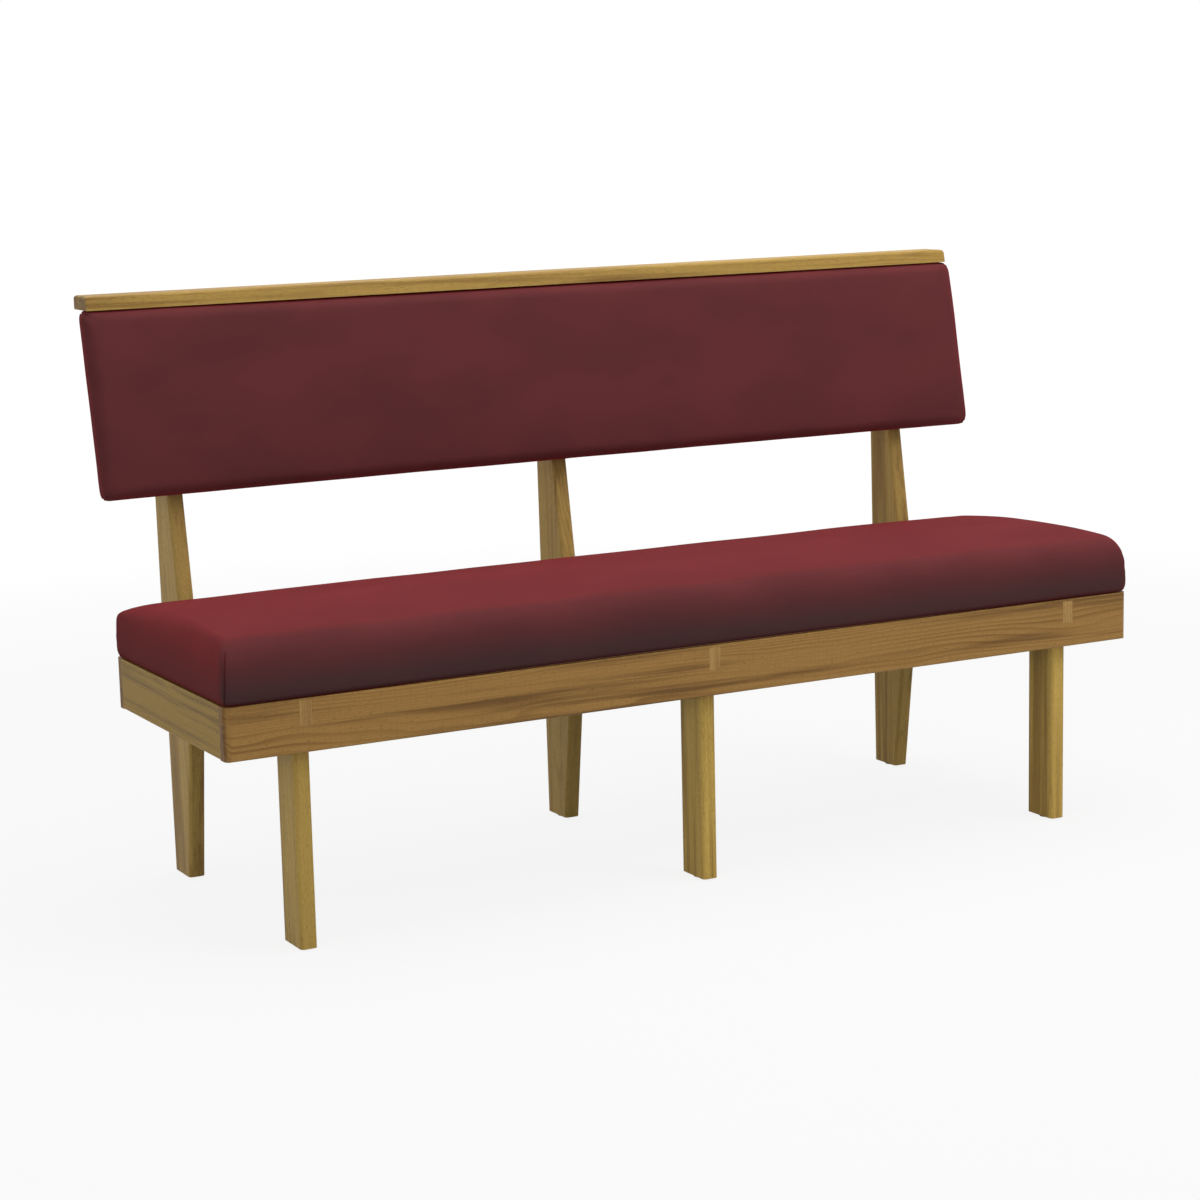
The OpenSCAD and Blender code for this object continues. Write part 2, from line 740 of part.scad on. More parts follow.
// A stuffed pad on its board, lying with its sewn lower edge on Z = 0, either the cover
// as a thin shell turned under by the cover's return, or the foam inside it.
// walls: heights of the upright sides at the front and the rear; tops: heights at the front,
// the crown and the rear; rolls and bulges: at the front, the rear and the ends;
// lean: slope of the rear side towards the front
module stuffed_pad(length, depth, walls, tops, rolls, bulges, board, lean, part) {
    function wall_at(share) = walls[0] + (walls[1] - walls[0]) * share;
    function top_at(share) = share < crown_place_share
        ? tops[0] + (tops[1] - tops[0]) * sin(90 * share / crown_place_share)
        : tops[2] + (tops[1] - tops[2]) * cos(90 * (share - crown_place_share) / (1 - crown_place_share));
    function bulge_at(share) = share < bulge_peak_share
        ? share / bulge_peak_share
        : 1 - (1 - bulge_top_share) * (share - bulge_peak_share) / (1 - bulge_peak_share);

    // One loop of points. side: share of the upright side's height, turn: angle round the
    // roll, inward: share of the way from the roll to the middle
    function loop(side, turn, inward, shrink, lowest) = let (
        wall_middle = wall_at(1 / 2),
        swell = bulge_at(max(side, lowest / wall_middle)),
        curl = 1 - cos(turn),
        rooms = [for (roll = rolls) depth / 2 - roll],
        insets = [for (s = [0 : 2]) shrink - bulges[s] * swell + rolls[s] * curl + inward * rooms[s]],
        rear_rise = max(lowest, walls[1] * side) + (tops[2] - walls[1] - shrink) * sin(turn),
        x_half = length / 2 - insets[2],
        y_front = insets[0],
        y_rear = depth - insets[1] - lean * rear_rise,
        y_half = (y_rear - y_front) / 2,
        radius = min(
            cover_corner_radius - shrink + corner_growth_share * rolls[2] * curl,
            corner_limit_share * (y_rear - y_front)
        )
    ) [
        for (row = full_loop)
            let (
                x = row[0] * (x_half - radius) + row[2] * radius,
                pull = cushion_draw_in * (1 - pow(x / x_half, 2)) * (1 - inward),
                y = (y_front + y_rear) / 2 + row[1] * (y_half - radius) + row[3] * radius - row[3] * pull,
                share = min(max(y / depth, 0), 1)
            )
            [x, y, max(lowest, wall_at(share) * side) + (top_at(share) - wall_at(share) - shrink) * sin(turn)]
    ];

    // The turned-under edge of the cover at a height
    function turned_under(height) = [
        for (point = loop(0, 0, 0, cover_return, 0)) [point.x, point.y, height]
    ];

    function skin(sides, shrink, lowest) = concat(
        [for (side = sides) loop(side, 0, 0, shrink, lowest)],
        [for (turn = roll_angles) loop(1, turn, 0, shrink, lowest)],
        [for (inward = crown_rings_shares) loop(1, 90, inward, shrink, lowest)]
    );
    function reversed(list) = [for (i = [len(list) - 1 : -1 : 0]) list[i]];

    if (part == "cover") {
        lofted(concat(
            reversed(skin([0, bulge_peak_share, 1], cover_thickness, cover_thickness)),
            [turned_under(cover_thickness), turned_under(0)],
            skin([0, bulge_peak_share, 1], 0, 0)
        ));
    } else {
        lofted(skin([0, 1], cover_thickness + fit_gap, cover_thickness + board + fit_gap));
    }
}

// Places a seat pad on the frame, a little inside its edges
module seat_pad(part) {
    upright_bulge = cushion_back_bulge_share * bulge_peak_share * cushion_wall_share
        * cushion_back_height * tan(upright_rake);
    translate([0, cushion_tuck, frame_height])
        stuffed_pad(
            length = frame_length - 2 * cushion_tuck,
            depth = frame_depth - 2 * cushion_tuck,
            walls = [cushion_front_height * cushion_wall_share, cushion_back_height - cushion_back_roll],
            tops = [cushion_front_height, cushion_crown_height, cushion_back_height],
            rolls = [cushion_front_roll, cushion_back_roll, cushion_end_roll],
            bulges = [cushion_bulge, upright_bulge, cushion_bulge],
            board = seat_board_thickness,
            lean = 0,
            part = part
        );
}

module seat_foam() placed() color("#e3d9b0") seat_pad("foam");

module seat_cover() placed() color("#7a2f38") seat_pad("cover");

// Places a back pad on its outer panel
module back_pad(part) {
    on_back() translate([0, 0, outer_back_thickness])
        stuffed_pad(
            length = frame_length - 2 * cushion_tuck,
            depth = pad_height,
            walls = [back_pad_thickness - back_roll, back_pad_thickness - back_roll],
            tops = [back_pad_thickness, back_pad_thickness + back_crown, back_pad_thickness],
            rolls = [back_roll, back_roll, back_roll],
            bulges = [cushion_bulge / 2, 0, cushion_bulge],
            board = back_board_thickness,
            lean = tan(back_rake),
            part = part
        );
}

module back_board() placed() color("#cbb184") {
    slope = (cover_thickness + back_board_thickness) * tan(back_rake);
    inner_height = pad_height - 2 * board_inset - slope;
    on_back() difference() {
        translate([0, board_inset + inner_height / 2, outer_back_thickness + cover_thickness])
            linear_extrude(back_board_thickness)
            rounded_rectangle(frame_length - 2 * board_inset, inner_height, cover_corner_radius);
        for (x = frame_places, place = back_screw_places) {
            translate([x, place, 0])
                cylinder(
                    h = outer_back_thickness + cover_thickness + back_screw_bite + fit_gap,
                    d = bore(screw_diameter)
                );
        }
    }
}

module back_foam() placed() color("#e3d9b0") back_pad("foam");

module back_cover() placed() color("#6c2a33") back_pad("cover");

module outer_back() placed() color("#5c252d") {
    panel_height = pad_height - 2 * outer_back_inset;
    on_back() difference() {
        translate([0, outer_back_inset + panel_height / 2, 0]) linear_extrude(outer_back_thickness)
            rounded_rectangle(frame_length - 2 * outer_back_inset, panel_height, cover_corner_radius);
        for (x = frame_places, place = back_screw_places) {
            translate([x, place, -overrun])
                cylinder(h = outer_back_thickness + 2 * overrun, d = bore(screw_diameter));
        }
    }
}

// Cap rail with a leaning front face, round upper edges and round upper ends
module cap_rail() placed() color("#ab8a48") {
    cap_length = frame_length - 2 * cap_end_inset;
    difference() {
        translate([-cap_length / 2, 0, cap_underside]) rotate([90, 0, 90]) linear_extrude(cap_length)
            polygon([
                [cap_front, 0], [cap_back, 0],
                [cap_back, cap_thickness], [cap_front + cap_lean, cap_thickness]
            ]);
        translate([-cap_length / 2 - overrun, cap_back, cap_top_height]) rotate([90, 0, 90])
            linear_extrude(cap_length + 2 * overrun) rotate(180) edge_waste(cap_edge_radius);
        translate([-cap_length / 2 - overrun, cap_front + cap_lean, cap_top_height]) rotate([90, 0, 90])
            linear_extrude(cap_length + 2 * overrun) rotate(-90) edge_waste(cap_edge_radius);
        for (side = [0, 1]) {
            mirror([side, 0, 0]) translate([cap_length / 2, cap_front - overrun, cap_top_height])
                rotate([-90, 0, 0]) linear_extrude(cap_depth + 2 * overrun) rotate(90)
                edge_waste(cap_edge_radius);
        }
        for (x = frame_places) {
            translate([x, cap_dowel_place, cap_underside - overrun])
                cylinder(h = cap_dowel_in_cap + fit_gap + overrun, d = bore(cap_dowel_diameter));
        }
    }
}

// Glide with its nail, standing on the floor
module glide(x, y) {
    translate([x, y, 0]) rotate_extrude() polygon([
        [0, 0],
        [glide_diameter / 2 - glide_rim, 0],
        [glide_diameter / 2, glide_rim],
        [glide_diameter / 2, glide_height],
        [glide_nail_diameter / 2, glide_height],
        [glide_nail_diameter / 2, glide_nail_length - glide_nail_diameter],
        [0, glide_nail_length]
    ]);
}

module glides() placed() color("#6b6256") {
    for (x = frame_places, y = [leg_front + leg_depth / 2, (foot_front.x + foot_back.x) / 2]) {
        glide(x, y);
    }
}

front_rail();
rear_rail();
left_end_rail();
right_end_rail();
left_front_leg();
middle_front_leg();
right_front_leg();
left_rear_post();
middle_rear_post();
right_rear_post();
left_bearer();
middle_bearer();
right_bearer();
corner_blocks();
front_inlays();
front_bolts();
rear_bolts();
barrel_nuts();
rail_dowels();
bearer_dowels();
post_dowels();
cap_dowels();
block_screws();
seat_screws();
back_screws();
back_plugs();
seat_board();
seat_foam();
seat_cover();
dust_cover();
back_board();
back_foam();
back_cover();
outer_back();
cap_rail();
glides();
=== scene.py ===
import math

import bmesh
import bpy
from mathutils import Matrix, Vector, noise


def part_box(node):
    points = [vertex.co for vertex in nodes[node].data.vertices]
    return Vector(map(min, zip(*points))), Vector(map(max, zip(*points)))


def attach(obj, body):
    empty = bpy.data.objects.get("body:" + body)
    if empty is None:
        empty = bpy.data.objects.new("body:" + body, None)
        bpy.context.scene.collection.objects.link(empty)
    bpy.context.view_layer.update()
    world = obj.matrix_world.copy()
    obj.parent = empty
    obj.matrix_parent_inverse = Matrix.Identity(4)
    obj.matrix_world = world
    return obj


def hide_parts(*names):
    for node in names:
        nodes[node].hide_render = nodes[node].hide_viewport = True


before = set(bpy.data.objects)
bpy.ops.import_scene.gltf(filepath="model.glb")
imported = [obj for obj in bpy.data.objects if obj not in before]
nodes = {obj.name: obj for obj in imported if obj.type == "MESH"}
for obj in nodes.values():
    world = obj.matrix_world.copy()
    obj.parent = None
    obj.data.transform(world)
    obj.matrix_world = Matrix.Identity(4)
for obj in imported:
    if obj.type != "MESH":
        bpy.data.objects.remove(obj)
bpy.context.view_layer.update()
scene = bpy.context.scene
print("frame loaded")

# Camera

cameraView = {
    "place": (-2.0491, -3.7160, 1.1437),
    "yaw": 28.38,  # degrees, towards +X
    "pitch": 10.08,  # downwards
    "roll": -1.35,
    "lens": 83.8,
    "sensor": 36,  # side of the square frame
}


def makeCamera(values):
    yaw, pitch, roll = (math.radians(values[key]) for key in ("yaw", "pitch", "roll"))
    ahead = Vector((
        math.sin(yaw) * math.cos(pitch),
        math.cos(yaw) * math.cos(pitch),
        -math.sin(pitch),
    ))
    level = Vector((math.cos(yaw), -math.sin(yaw), 0))
    upright = level.cross(ahead)
    side = math.cos(roll) * level + math.sin(roll) * upright
    top = math.cos(roll) * upright - math.sin(roll) * level
    turned = Matrix((side, top, -ahead)).transposed().to_4x4()
    camera = bpy.data.objects.new("camera", bpy.data.cameras.new("camera"))
    camera.data.sensor_width = values["sensor"]
    camera.data.lens = values["lens"]
    camera.matrix_world = Matrix.Translation(values["place"]) @ turned
    scene.collection.objects.link(camera)
    scene.camera = camera


makeCamera(cameraView)
print("camera placed")

# Shader helpers


def tone(red, green, blue):
    # A colour as read off a screen, 0 to 255, made linear for a socket
    values = [value / 255 for value in (red, green, blue)]
    return [v / 12.92 if v < 0.04045 else ((v + 0.055) / 1.055) ** 2.4 for v in values] + [1]


def feed(tree, socket, value):
    if isinstance(value, bpy.types.NodeSocket):
        tree.links.new(value, socket)
    else:
        socket.default_value = value


def addNode(tree, kind, settings=None, **inputs):
    node = tree.nodes.new(kind)
    for key, value in (settings or {}).items():
        setattr(node, key, value)
    for key, value in inputs.items():
        feed(tree, node.inputs[key.replace("_", " ")], value)
    return node


def calc(tree, operation, *values):
    node = addNode(tree, "ShaderNodeMath", {"operation": operation})
    for socket, value in zip(node.inputs, values):
        feed(tree, socket, value)
    return node.outputs[0]


def vectorCalc(tree, operation, *values):
    node = addNode(tree, "ShaderNodeVectorMath", {"operation": operation})
    for socket, value in zip(node.inputs, values):
        feed(tree, socket, value)
    return node.outputs["Value" if operation == "LENGTH" else "Vector"]


def rampUp(tree, value, low, high, bottom=0.0, top=1.0):
    # Smooth step of a value from low to high
    node = addNode(tree, "ShaderNodeMapRange", {"interpolation_type": "SMOOTHSTEP"})
    for socket, part in zip(node.inputs, (value, low, high, bottom, top)):
        feed(tree, socket, part)
    return node.outputs["Result"]


def noiseOf(tree, place, stretch, detail=2.0, roughness=0.5):
    # stretch: spots per metre along each coordinate
    node = addNode(
        tree, "ShaderNodeTexNoise", Vector=vectorCalc(tree, "MULTIPLY", place, stretch),
        Scale=1.0, Detail=detail, Roughness=roughness,
    )
    return node.outputs


def blendTones(tree, share, first, second, kind="MIX"):
    node = addNode(tree, "ShaderNodeMix", {"data_type": "RGBA", "blend_type": kind})
    feed(tree, node.inputs["Factor"], share)
    feed(tree, node.inputs[6], first)
    feed(tree, node.inputs[7], second)
    return node.outputs[2]


def objectPlace(tree):
    return addNode(tree, "ShaderNodeTexCoord").outputs["Object"]


def clothPlace(tree):
    return addNode(tree, "ShaderNodeUVMap", {"uv_map": "cloth"}).outputs["UV"]


def newGroup(name, inputs, outputs):
    # inputs: {socket name: (kind, value)}
    group = bpy.data.node_groups.new(name, "ShaderNodeTree")
    for key, (kind, value) in inputs.items():
        socket = group.interface.new_socket(key, in_out="INPUT", socket_type="NodeSocket" + kind)
        if value is not None:
            socket.default_value = value
    for key in outputs:
        group.interface.new_socket(key, in_out="OUTPUT", socket_type="NodeSocketFloat")
    given = group.nodes.new("NodeGroupInput").outputs
    out = group.nodes.new("NodeGroupOutput").inputs
    return group, given, out


def useGroup(tree, group, **inputs):
    node = tree.nodes.new("ShaderNodeGroup")
    node.node_tree = group
    for key, value in inputs.items():
        feed(tree, node.inputs[key], value)
    return node.outputs


def newMaterial(name):
    material = bpy.data.materials.new(name)
    material.use_nodes = True
    tree = material.node_tree
    return material, tree, tree.nodes["Principled BSDF"].inputs


def addBump(tree, shader, height, strength, distance):
    bump = addNode(tree, "ShaderNodeBump", Strength=strength, Distance=distance, Height=height)
    tree.links.new(bump.outputs["Normal"], shader["Normal"])


# Shared effects

# Spots per metre are given across, across and along the grain
oakShape = {
    "ringGap": 0.0052, "wander": 0.040,
    "bends": (7, 7, 2.0),
    "fatYears": (34, 34, 1.1), "fatYearShift": 5.0,
    "lateWoodStart": (0.3, 0.9), "lateWoodEnd": (0.92, 1.0),  # shares of a year
    "clearness": (26, 26, 1.6), "clearLimits": (0.38, 0.62), "faintest": 0.3,
    "fibres": (520, 520, 9), "fibreHeight": 0.35,
    "pores": (2300, 2300, 130), "poreLimits": (0.58, 0.7),
    "lateWoodLimit": 0.6, "latePores": 0.25,  # where late wood thins the pores to this share
    "broadDrift": (11, 11, 1.7), "narrowDrift": (85, 85, 2.6),
}


def makeOakFigure(shape):
    # Growth rings round a pith along Z, with the pores and fibres that run along it
    group, given, out = newGroup(
        "oakFigure",
        {
            "Place": ("Vector", None),
            "Ring Gap": ("Float", shape["ringGap"]),
            "Wander": ("Float", shape["wander"]),
        },
        ("Ring", "Fibre", "Pore", "Drift", "Height"),
    )
    place = given["Place"]
    bends = noiseOf(group, place, shape["bends"])["Color"]
    fatYears = noiseOf(group, place, shape["fatYears"], detail=1)["Fac"]
    shift = vectorCalc(group, "SUBTRACT", bends, (0.5, 0.5, 0.5))
    scaled = addNode(
        group, "ShaderNodeVectorMath", {"operation": "SCALE"},
        Vector=shift, Scale=given["Wander"],
    )
    moved = vectorCalc(group, "ADD", place, scaled.outputs["Vector"])
    radius = vectorCalc(group, "LENGTH", vectorCalc(group, "MULTIPLY", moved, (1, 1, 0)))
    evenYears = calc(group, "DIVIDE", radius, given["Ring Gap"])
    years = calc(
        group, "ADD", evenYears, calc(group, "MULTIPLY", fatYears, shape["fatYearShift"]))
    turn = calc(group, "FRACT", years)
    late = calc(
        group, "MULTIPLY",
        rampUp(group, turn, *shape["lateWoodStart"]),
        rampUp(group, turn, *shape["lateWoodEnd"], 1.0, 0.0),
    )
    clearness = noiseOf(group, place, shape["clearness"])["Fac"]
    clearness = rampUp(group, clearness, *shape["clearLimits"], shape["faintest"], 1.0)
    fibre = noiseOf(group, place, shape["fibres"], detail=3, roughness=0.6)["Fac"]
    pores = noiseOf(group, place, shape["pores"], detail=0)["Fac"]
    pores = rampUp(group, pores, *shape["poreLimits"])
    early = rampUp(group, late, 0.0, shape["lateWoodLimit"], 1.0, shape["latePores"])
    pore = calc(group, "MULTIPLY", pores, early)
    broad = noiseOf(group, place, shape["broadDrift"])["Fac"]
    narrow = noiseOf(group, place, shape["narrowDrift"])["Fac"]
    feed(group, out["Ring"], calc(group, "MULTIPLY", late, clearness))
    feed(group, out["Fibre"], fibre)
    feed(group, out["Pore"], pore)
    feed(group, out["Drift"], calc(group, "MULTIPLY", calc(group, "ADD", broad, narrow), 0.5))
    height = calc(group, "SUBTRACT", calc(group, "MULTIPLY", fibre, shape["fibreHeight"]), pore)
    feed(group, out["Height"], height)
    return group


rubShape = {
    "reach": 0.004, "samples": 4,
    "edge": (0.99, 0.85),  # agreement of the rounded normal with the flat one
    "patches": (60, 60, 60), "patchLimits": (0.4, 0.62),
}


def makeEdgeRub(shape):
    # Share of rubbing on outer edges, from the way the surface turns within a short reach
    group, given, out = newGroup(
        "edgeRub",
        {"Place": ("Vector", None), "Reach": ("Float", shape["reach"])},
        ("Rub",),
    )
    bevel = addNode(
        group, "ShaderNodeBevel", {"samples": shape["samples"]}, Radius=given["Reach"])
    flat = addNode(group, "ShaderNodeNewGeometry").outputs["Normal"]
    match = addNode(group, "ShaderNodeVectorMath", {"operation": "DOT_PRODUCT"})
    feed(group, match.inputs[0], bevel.outputs["Normal"])
    feed(group, match.inputs[1], flat)
    edge = rampUp(group, match.outputs["Value"], *shape["edge"])
    patches = noiseOf(group, given["Place"], shape["patches"], detail=3)["Fac"]
    patches = rampUp(group, patches, *shape["patchLimits"])
    feed(group, out["Rub"], calc(group, "MULTIPLY", edge, patches))
    return group


weaveShape = {
    "thread": 0.0009,
    "roundness": 0.6,
    "gapLimits": (0.45, 0.1),
    "slubsAcross": 900, "slubsAlong": 14,  # thick spots of the threads, per metre
    "pile": (5, 9, 1),  # slow changes in the lie of the cloth, per metre
}


def makeWeave(shape):
    # Plain weave on two coordinates in metres: each thread goes over and under its neighbours
    group, given, out = newGroup(
        "weave",
        {"Place": ("Vector", None), "Thread": ("Float", shape["thread"])},
        ("Crown", "Gap", "Slub", "Pile"),
    )
    place, thread = given["Place"], given["Thread"]
    pitch = addNode(group, "ShaderNodeCombineXYZ", X=thread, Y=thread, Z=thread).outputs[0]
    scaled = vectorCalc(group, "DIVIDE", place, pitch)
    parts = addNode(group, "ShaderNodeSeparateXYZ", Vector=scaled).outputs
    waves = [
        calc(group, "SINE", calc(group, "MULTIPLY", parts[axis], math.pi)) for axis in (0, 1)]
    threads = []
    for own, other, sign in ((0, 1, 0.5), (1, 0, -0.5)):
        profile = calc(
            group, "POWER", calc(group, "ABSOLUTE", waves[own]), shape["roundness"])
        over = calc(group, "MULTIPLY", calc(group, "SIGN", waves[own]), waves[other])
        lift = calc(group, "MULTIPLY_ADD", over, sign, 0.5)
        threads.append(calc(group, "MULTIPLY", profile, lift))
    crown = calc(group, "MAXIMUM", *threads)
    across, along = shape["slubsAcross"], shape["slubsAlong"]
    warp = noiseOf(group, place, (across, along, 1))["Fac"]
    weft = noiseOf(group, place, (along, across, 1))["Fac"]
    feed(group, out["Crown"], crown)
    feed(group, out["Gap"], rampUp(group, crown, *shape["gapLimits"]))
    feed(group, out["Slub"], calc(group, "MULTIPLY", calc(group, "ADD", warp, weft), 0.5))
    feed(group, out["Pile"], noiseOf(group, place, shape["pile"], detail=3)["Fac"])
    return group


oakFigure = makeOakFigure(oakShape)
edgeRub = makeEdgeRub(rubShape)
weave = makeWeave(weaveShape)
print("shader groups made")

# Wood

# Turn that lays the pith of a board along an axis
grainTurns = {"X": (0, math.pi / 2, 0), "Y": (-math.pi / 2, 0, 0), "Z": (0, 0, 0)}

# Pale, darker and brown wood of each kind of board
woodTones = {
    "rail": ((171, 130, 72), (136, 98, 52), (103, 72, 40)),
    "end": ((162, 130, 56), (136, 104, 42), (107, 81, 36)),
    # The leg tones, and less so brownLeg, are lighter than the post tones: painted light that
    # makes up for the shade under the seat
    "leg": ((214, 179, 94), (186, 150, 75), (148, 113, 55)),
    "brownLeg": ((192, 160, 84), (167, 134, 67), (132, 100, 49)),
    "post": ((188, 156, 87), (162, 128, 65), (130, 97, 50)),
    "cap": ((181, 147, 75), (155, 119, 58), (126, 93, 46)),
    "inlay": ((186, 147, 89), (164, 125, 73), (134, 98, 54)),
    "beech": ((206, 176, 128), (190, 158, 110), (166, 130, 88)),
}

# Each board: kind, axis of its grain, place of its pith
woodBoards = {
    "front_rail": ("rail", "X", (0.0, -0.232, 0.272)),
    "rear_rail": ("rail", "X", (0.3, 0.130, 0.385)),
    "left_end_rail": ("end", "Y", (-0.715, 0.1, 0.380)),
    "right_end_rail": ("end", "Y", (0.705, -0.2, 0.262)),
    "left_front_leg": ("brownLeg", "Z", (-0.600, -0.230, 0.0)),
    "middle_front_leg": ("leg", "Z", (0.055, -0.205, 0.4)),
    "right_front_leg": ("leg", "Z", (0.690, -0.240, 0.9)),
    "left_rear_post": ("post", "Z", (-0.590, 0.205, 0.3)),
    "middle_rear_post": ("post", "Z", (0.060, 0.230, 0.0)),
    "right_rear_post": ("post", "Z", (0.700, 0.210, 0.7)),
    "left_bearer": ("leg", "Y", (-0.600, 0.0, 0.300)),
    "middle_bearer": ("leg", "Y", (0.050, 0.2, 0.330)),
    "right_bearer": ("leg", "Y", (0.700, 0.1, 0.310)),
    "corner_blocks": ("beech", "X", (0.0, 0.05, 0.300)),
    "cap_rail": ("cap", "X", (0.2, 0.268, 0.838)),
    "front_inlays": ("inlay", "Z", (0.0, -0.235, 0.0)),
    "rail_dowels": ("beech", "Y", (0.0, 0.0, 0.280)),
    "bearer_dowels": ("beech", "Y", (0.1, 0.0, 0.290)),
    "post_dowels": ("beech", "Y", (0.0, 0.0, 0.270)),
    "cap_dowels": ("beech", "Z", (0.0, 0.230, 0.0)),
    "back_plugs": ("beech", "X", (0.0, 0.270, 0.700)),
}

woodFinish = {
    "ringShare": 0.8,
    "streakFibre": 0.25, "streakLimits": (0.6, 0.78), "streakShare": 0.8,
    "fibreShade": 0.3, "darkestFibre": 0.85,
    "poreTone": (74, 52, 30), "poreShare": 0.4, "poreRoughness": 0.25,
    "rubTone": (196, 160, 98), "rubShare": 0.35, "rubGloss": 0.1,
    "endFacing": (0.6, 0.95),
    "endShade": 0.45,  # how much darker the end grain takes the finish
    "roughness": 0.5,
    "gloss": 0.12,
    "coat": 0.04, "coatRoughness": 0.3,  # thin satin lacquer
    "bump": (0.35, 0.0002),
}


def makeWood(name, kind, axis, pith):
    finish = woodFinish
    material, tree, shader = newMaterial(name)
    pale, darker, brown = (tone(*values) for values in woodTones[kind])
    place = objectPlace(tree)
    mapping = addNode(
        tree, "ShaderNodeMapping", {"vector_type": "TEXTURE"},
        Vector=place, Location=pith, Rotation=grainTurns[axis],
    )
    figure = useGroup(tree, oakFigure, Place=mapping.outputs["Vector"])
    rub = useGroup(tree, edgeRub, Place=place)["Rub"]

    ring = calc(tree, "MULTIPLY", figure["Ring"], finish["ringShare"])
    colour = blendTones(tree, ring, pale, darker)
    streak = calc(tree, "MULTIPLY_ADD", figure["Fibre"], finish["streakFibre"], figure["Drift"])
    streak = rampUp(tree, streak, *finish["streakLimits"])
    streak = calc(tree, "MULTIPLY", streak, finish["streakShare"])
    colour = blendTones(tree, streak, colour, brown)
    shade = calc(
        tree, "MULTIPLY_ADD", figure["Fibre"], finish["fibreShade"], finish["darkestFibre"])
    grey = addNode(tree, "ShaderNodeCombineXYZ", X=shade, Y=shade, Z=shade).outputs[0]
    colour = blendTones(tree, 1.0, colour, grey, "MULTIPLY")
    pore = calc(tree, "MULTIPLY", figure["Pore"], finish["poreShare"])
    colour = blendTones(tree, pore, colour, tone(*finish["poreTone"]))
    normal = addNode(tree, "ShaderNodeNewGeometry").outputs["Normal"]
    facing = addNode(tree, "ShaderNodeSeparateXYZ", Vector=normal).outputs[axis]
    facing = calc(tree, "ABSOLUTE", facing)
    endGrain = rampUp(tree, facing, *finish["endFacing"], 0.0, finish["endShade"])
    colour = blendTones(tree, endGrain, colour, blendTones(tree, 1.0, colour, brown, "MULTIPLY"))
    rubbed = calc(tree, "MULTIPLY", rub, finish["rubShare"])
    colour = blendTones(tree, rubbed, colour, tone(*finish["rubTone"]))
    feed(tree, shader["Base Color"], colour)

    roughness = calc(
        tree, "MULTIPLY_ADD", figure["Pore"], finish["poreRoughness"], finish["roughness"])
    polish = calc(tree, "MULTIPLY", rub, finish["rubGloss"])
    feed(tree, shader["Roughness"], calc(tree, "SUBTRACT", roughness, polish))
    shader["Specular IOR Level"].default_value = finish["gloss"]
    shader["Coat Weight"].default_value = finish["coat"]
    shader["Coat Roughness"].default_value = finish["coatRoughness"]
    addBump(tree, shader, figure["Height"], *finish["bump"])
    return material


def dress(node, material):
    mesh = nodes[node].data
    if not mesh.materials:
        mesh.materials.append(material)
    for slot in nodes[node].material_slots:
        slot.material = material


for node, (kind, axis, pith) in woodBoards.items():
    dress(node, makeWood(node + "Wood", kind, axis, pith))
print("wood finished")

# Plywood, steel and glides

plyValues = {
    "veneer": 0.0015,
    "face": (214, 184, 134), "edge": (150, 112, 72),
    "grain": 3, "fibres": 240,  # spots per metre along and across the grain
    "crossShade": 0.3, "grainShade": 0.5,
    "roughness": 0.7,
    "bump": (0.3, 0.0002),
}


def makePlywood(name, turn):
    # turn lays the stack of veneers along the board's own Z
    values = plyValues
    material, tree, shader = newMaterial(name)
    laid = addNode(
        tree, "ShaderNodeMapping", {"vector_type": "TEXTURE"},
        Vector=objectPlace(tree), Rotation=turn,
    ).outputs[0]
    height = addNode(tree, "ShaderNodeSeparateXYZ", Vector=laid).outputs["Z"]
    stack = calc(tree, "FLOOR", calc(tree, "DIVIDE", height, values["veneer"]))
    layer = calc(tree, "FLOORED_MODULO", stack, 2.0)
    along, across = values["grain"], values["fibres"]
    grain = addNode(tree, "ShaderNodeMix", {"data_type": "FLOAT"}, Factor=layer)
    for socket, stretch in ((2, (along, across, across)), (3, (across, along, across))):
        feed(tree, grain.inputs[socket], noiseOf(tree, laid, stretch, detail=3)["Fac"])
    share = calc(tree, "MULTIPLY", grain.outputs[0], values["grainShade"])
    share = calc(tree, "MULTIPLY_ADD", layer, values["crossShade"], share)
    colour = blendTones(tree, share, tone(*values["face"]), tone(*values["edge"]))
    feed(tree, shader["Base Color"], colour)
    shader["Roughness"].default_value = values["roughness"]
    addBump(tree, shader, grain.outputs[0], *values["bump"])
    return material


steelValues = {
    "zinc": (176, 176, 170), "dull": (142, 144, 140), "rubbed": (206, 206, 200),
    "spots": (900, 900, 900), "spotLimits": (0.35, 0.7),
    "streaks": (300, 2500, 2500), "streakRoughness": 0.25, "roughness": 0.25,
    "rubReach": 0.0006,
    "bump": (0.15, 0.00005),
}


def makeSteel(values):
    material, tree, shader = newMaterial("zincSteel")
    place = objectPlace(tree)
    spots = noiseOf(tree, place, values["spots"], detail=3)["Fac"]
    spots = rampUp(tree, spots, *values["spotLimits"])
    streaks = noiseOf(tree, place, values["streaks"])["Fac"]
    rub = useGroup(tree, edgeRub, Place=place, Reach=values["rubReach"])["Rub"]
    colour = blendTones(tree, spots, tone(*values["zinc"]), tone(*values["dull"]))
    feed(tree, shader["Base Color"], blendTones(tree, rub, colour, tone(*values["rubbed"])))
    shader["Metallic"].default_value = 1.0
    roughness = calc(
        tree, "MULTIPLY_ADD", streaks, values["streakRoughness"], values["roughness"])
    feed(tree, shader["Roughness"], roughness)
    addBump(tree, shader, streaks, *values["bump"])
    return material


glideValues = {
    "plastic": (66, 52, 40), "scuffed": (104, 88, 70),
    "scuffs": (90, 700, 90), "scuffLimits": (0.55, 0.75),
    "grain": (1500, 1500, 1500), "grainRoughness": 0.2, "roughness": 0.45,
    "bump": (0.2, 0.0001),
}


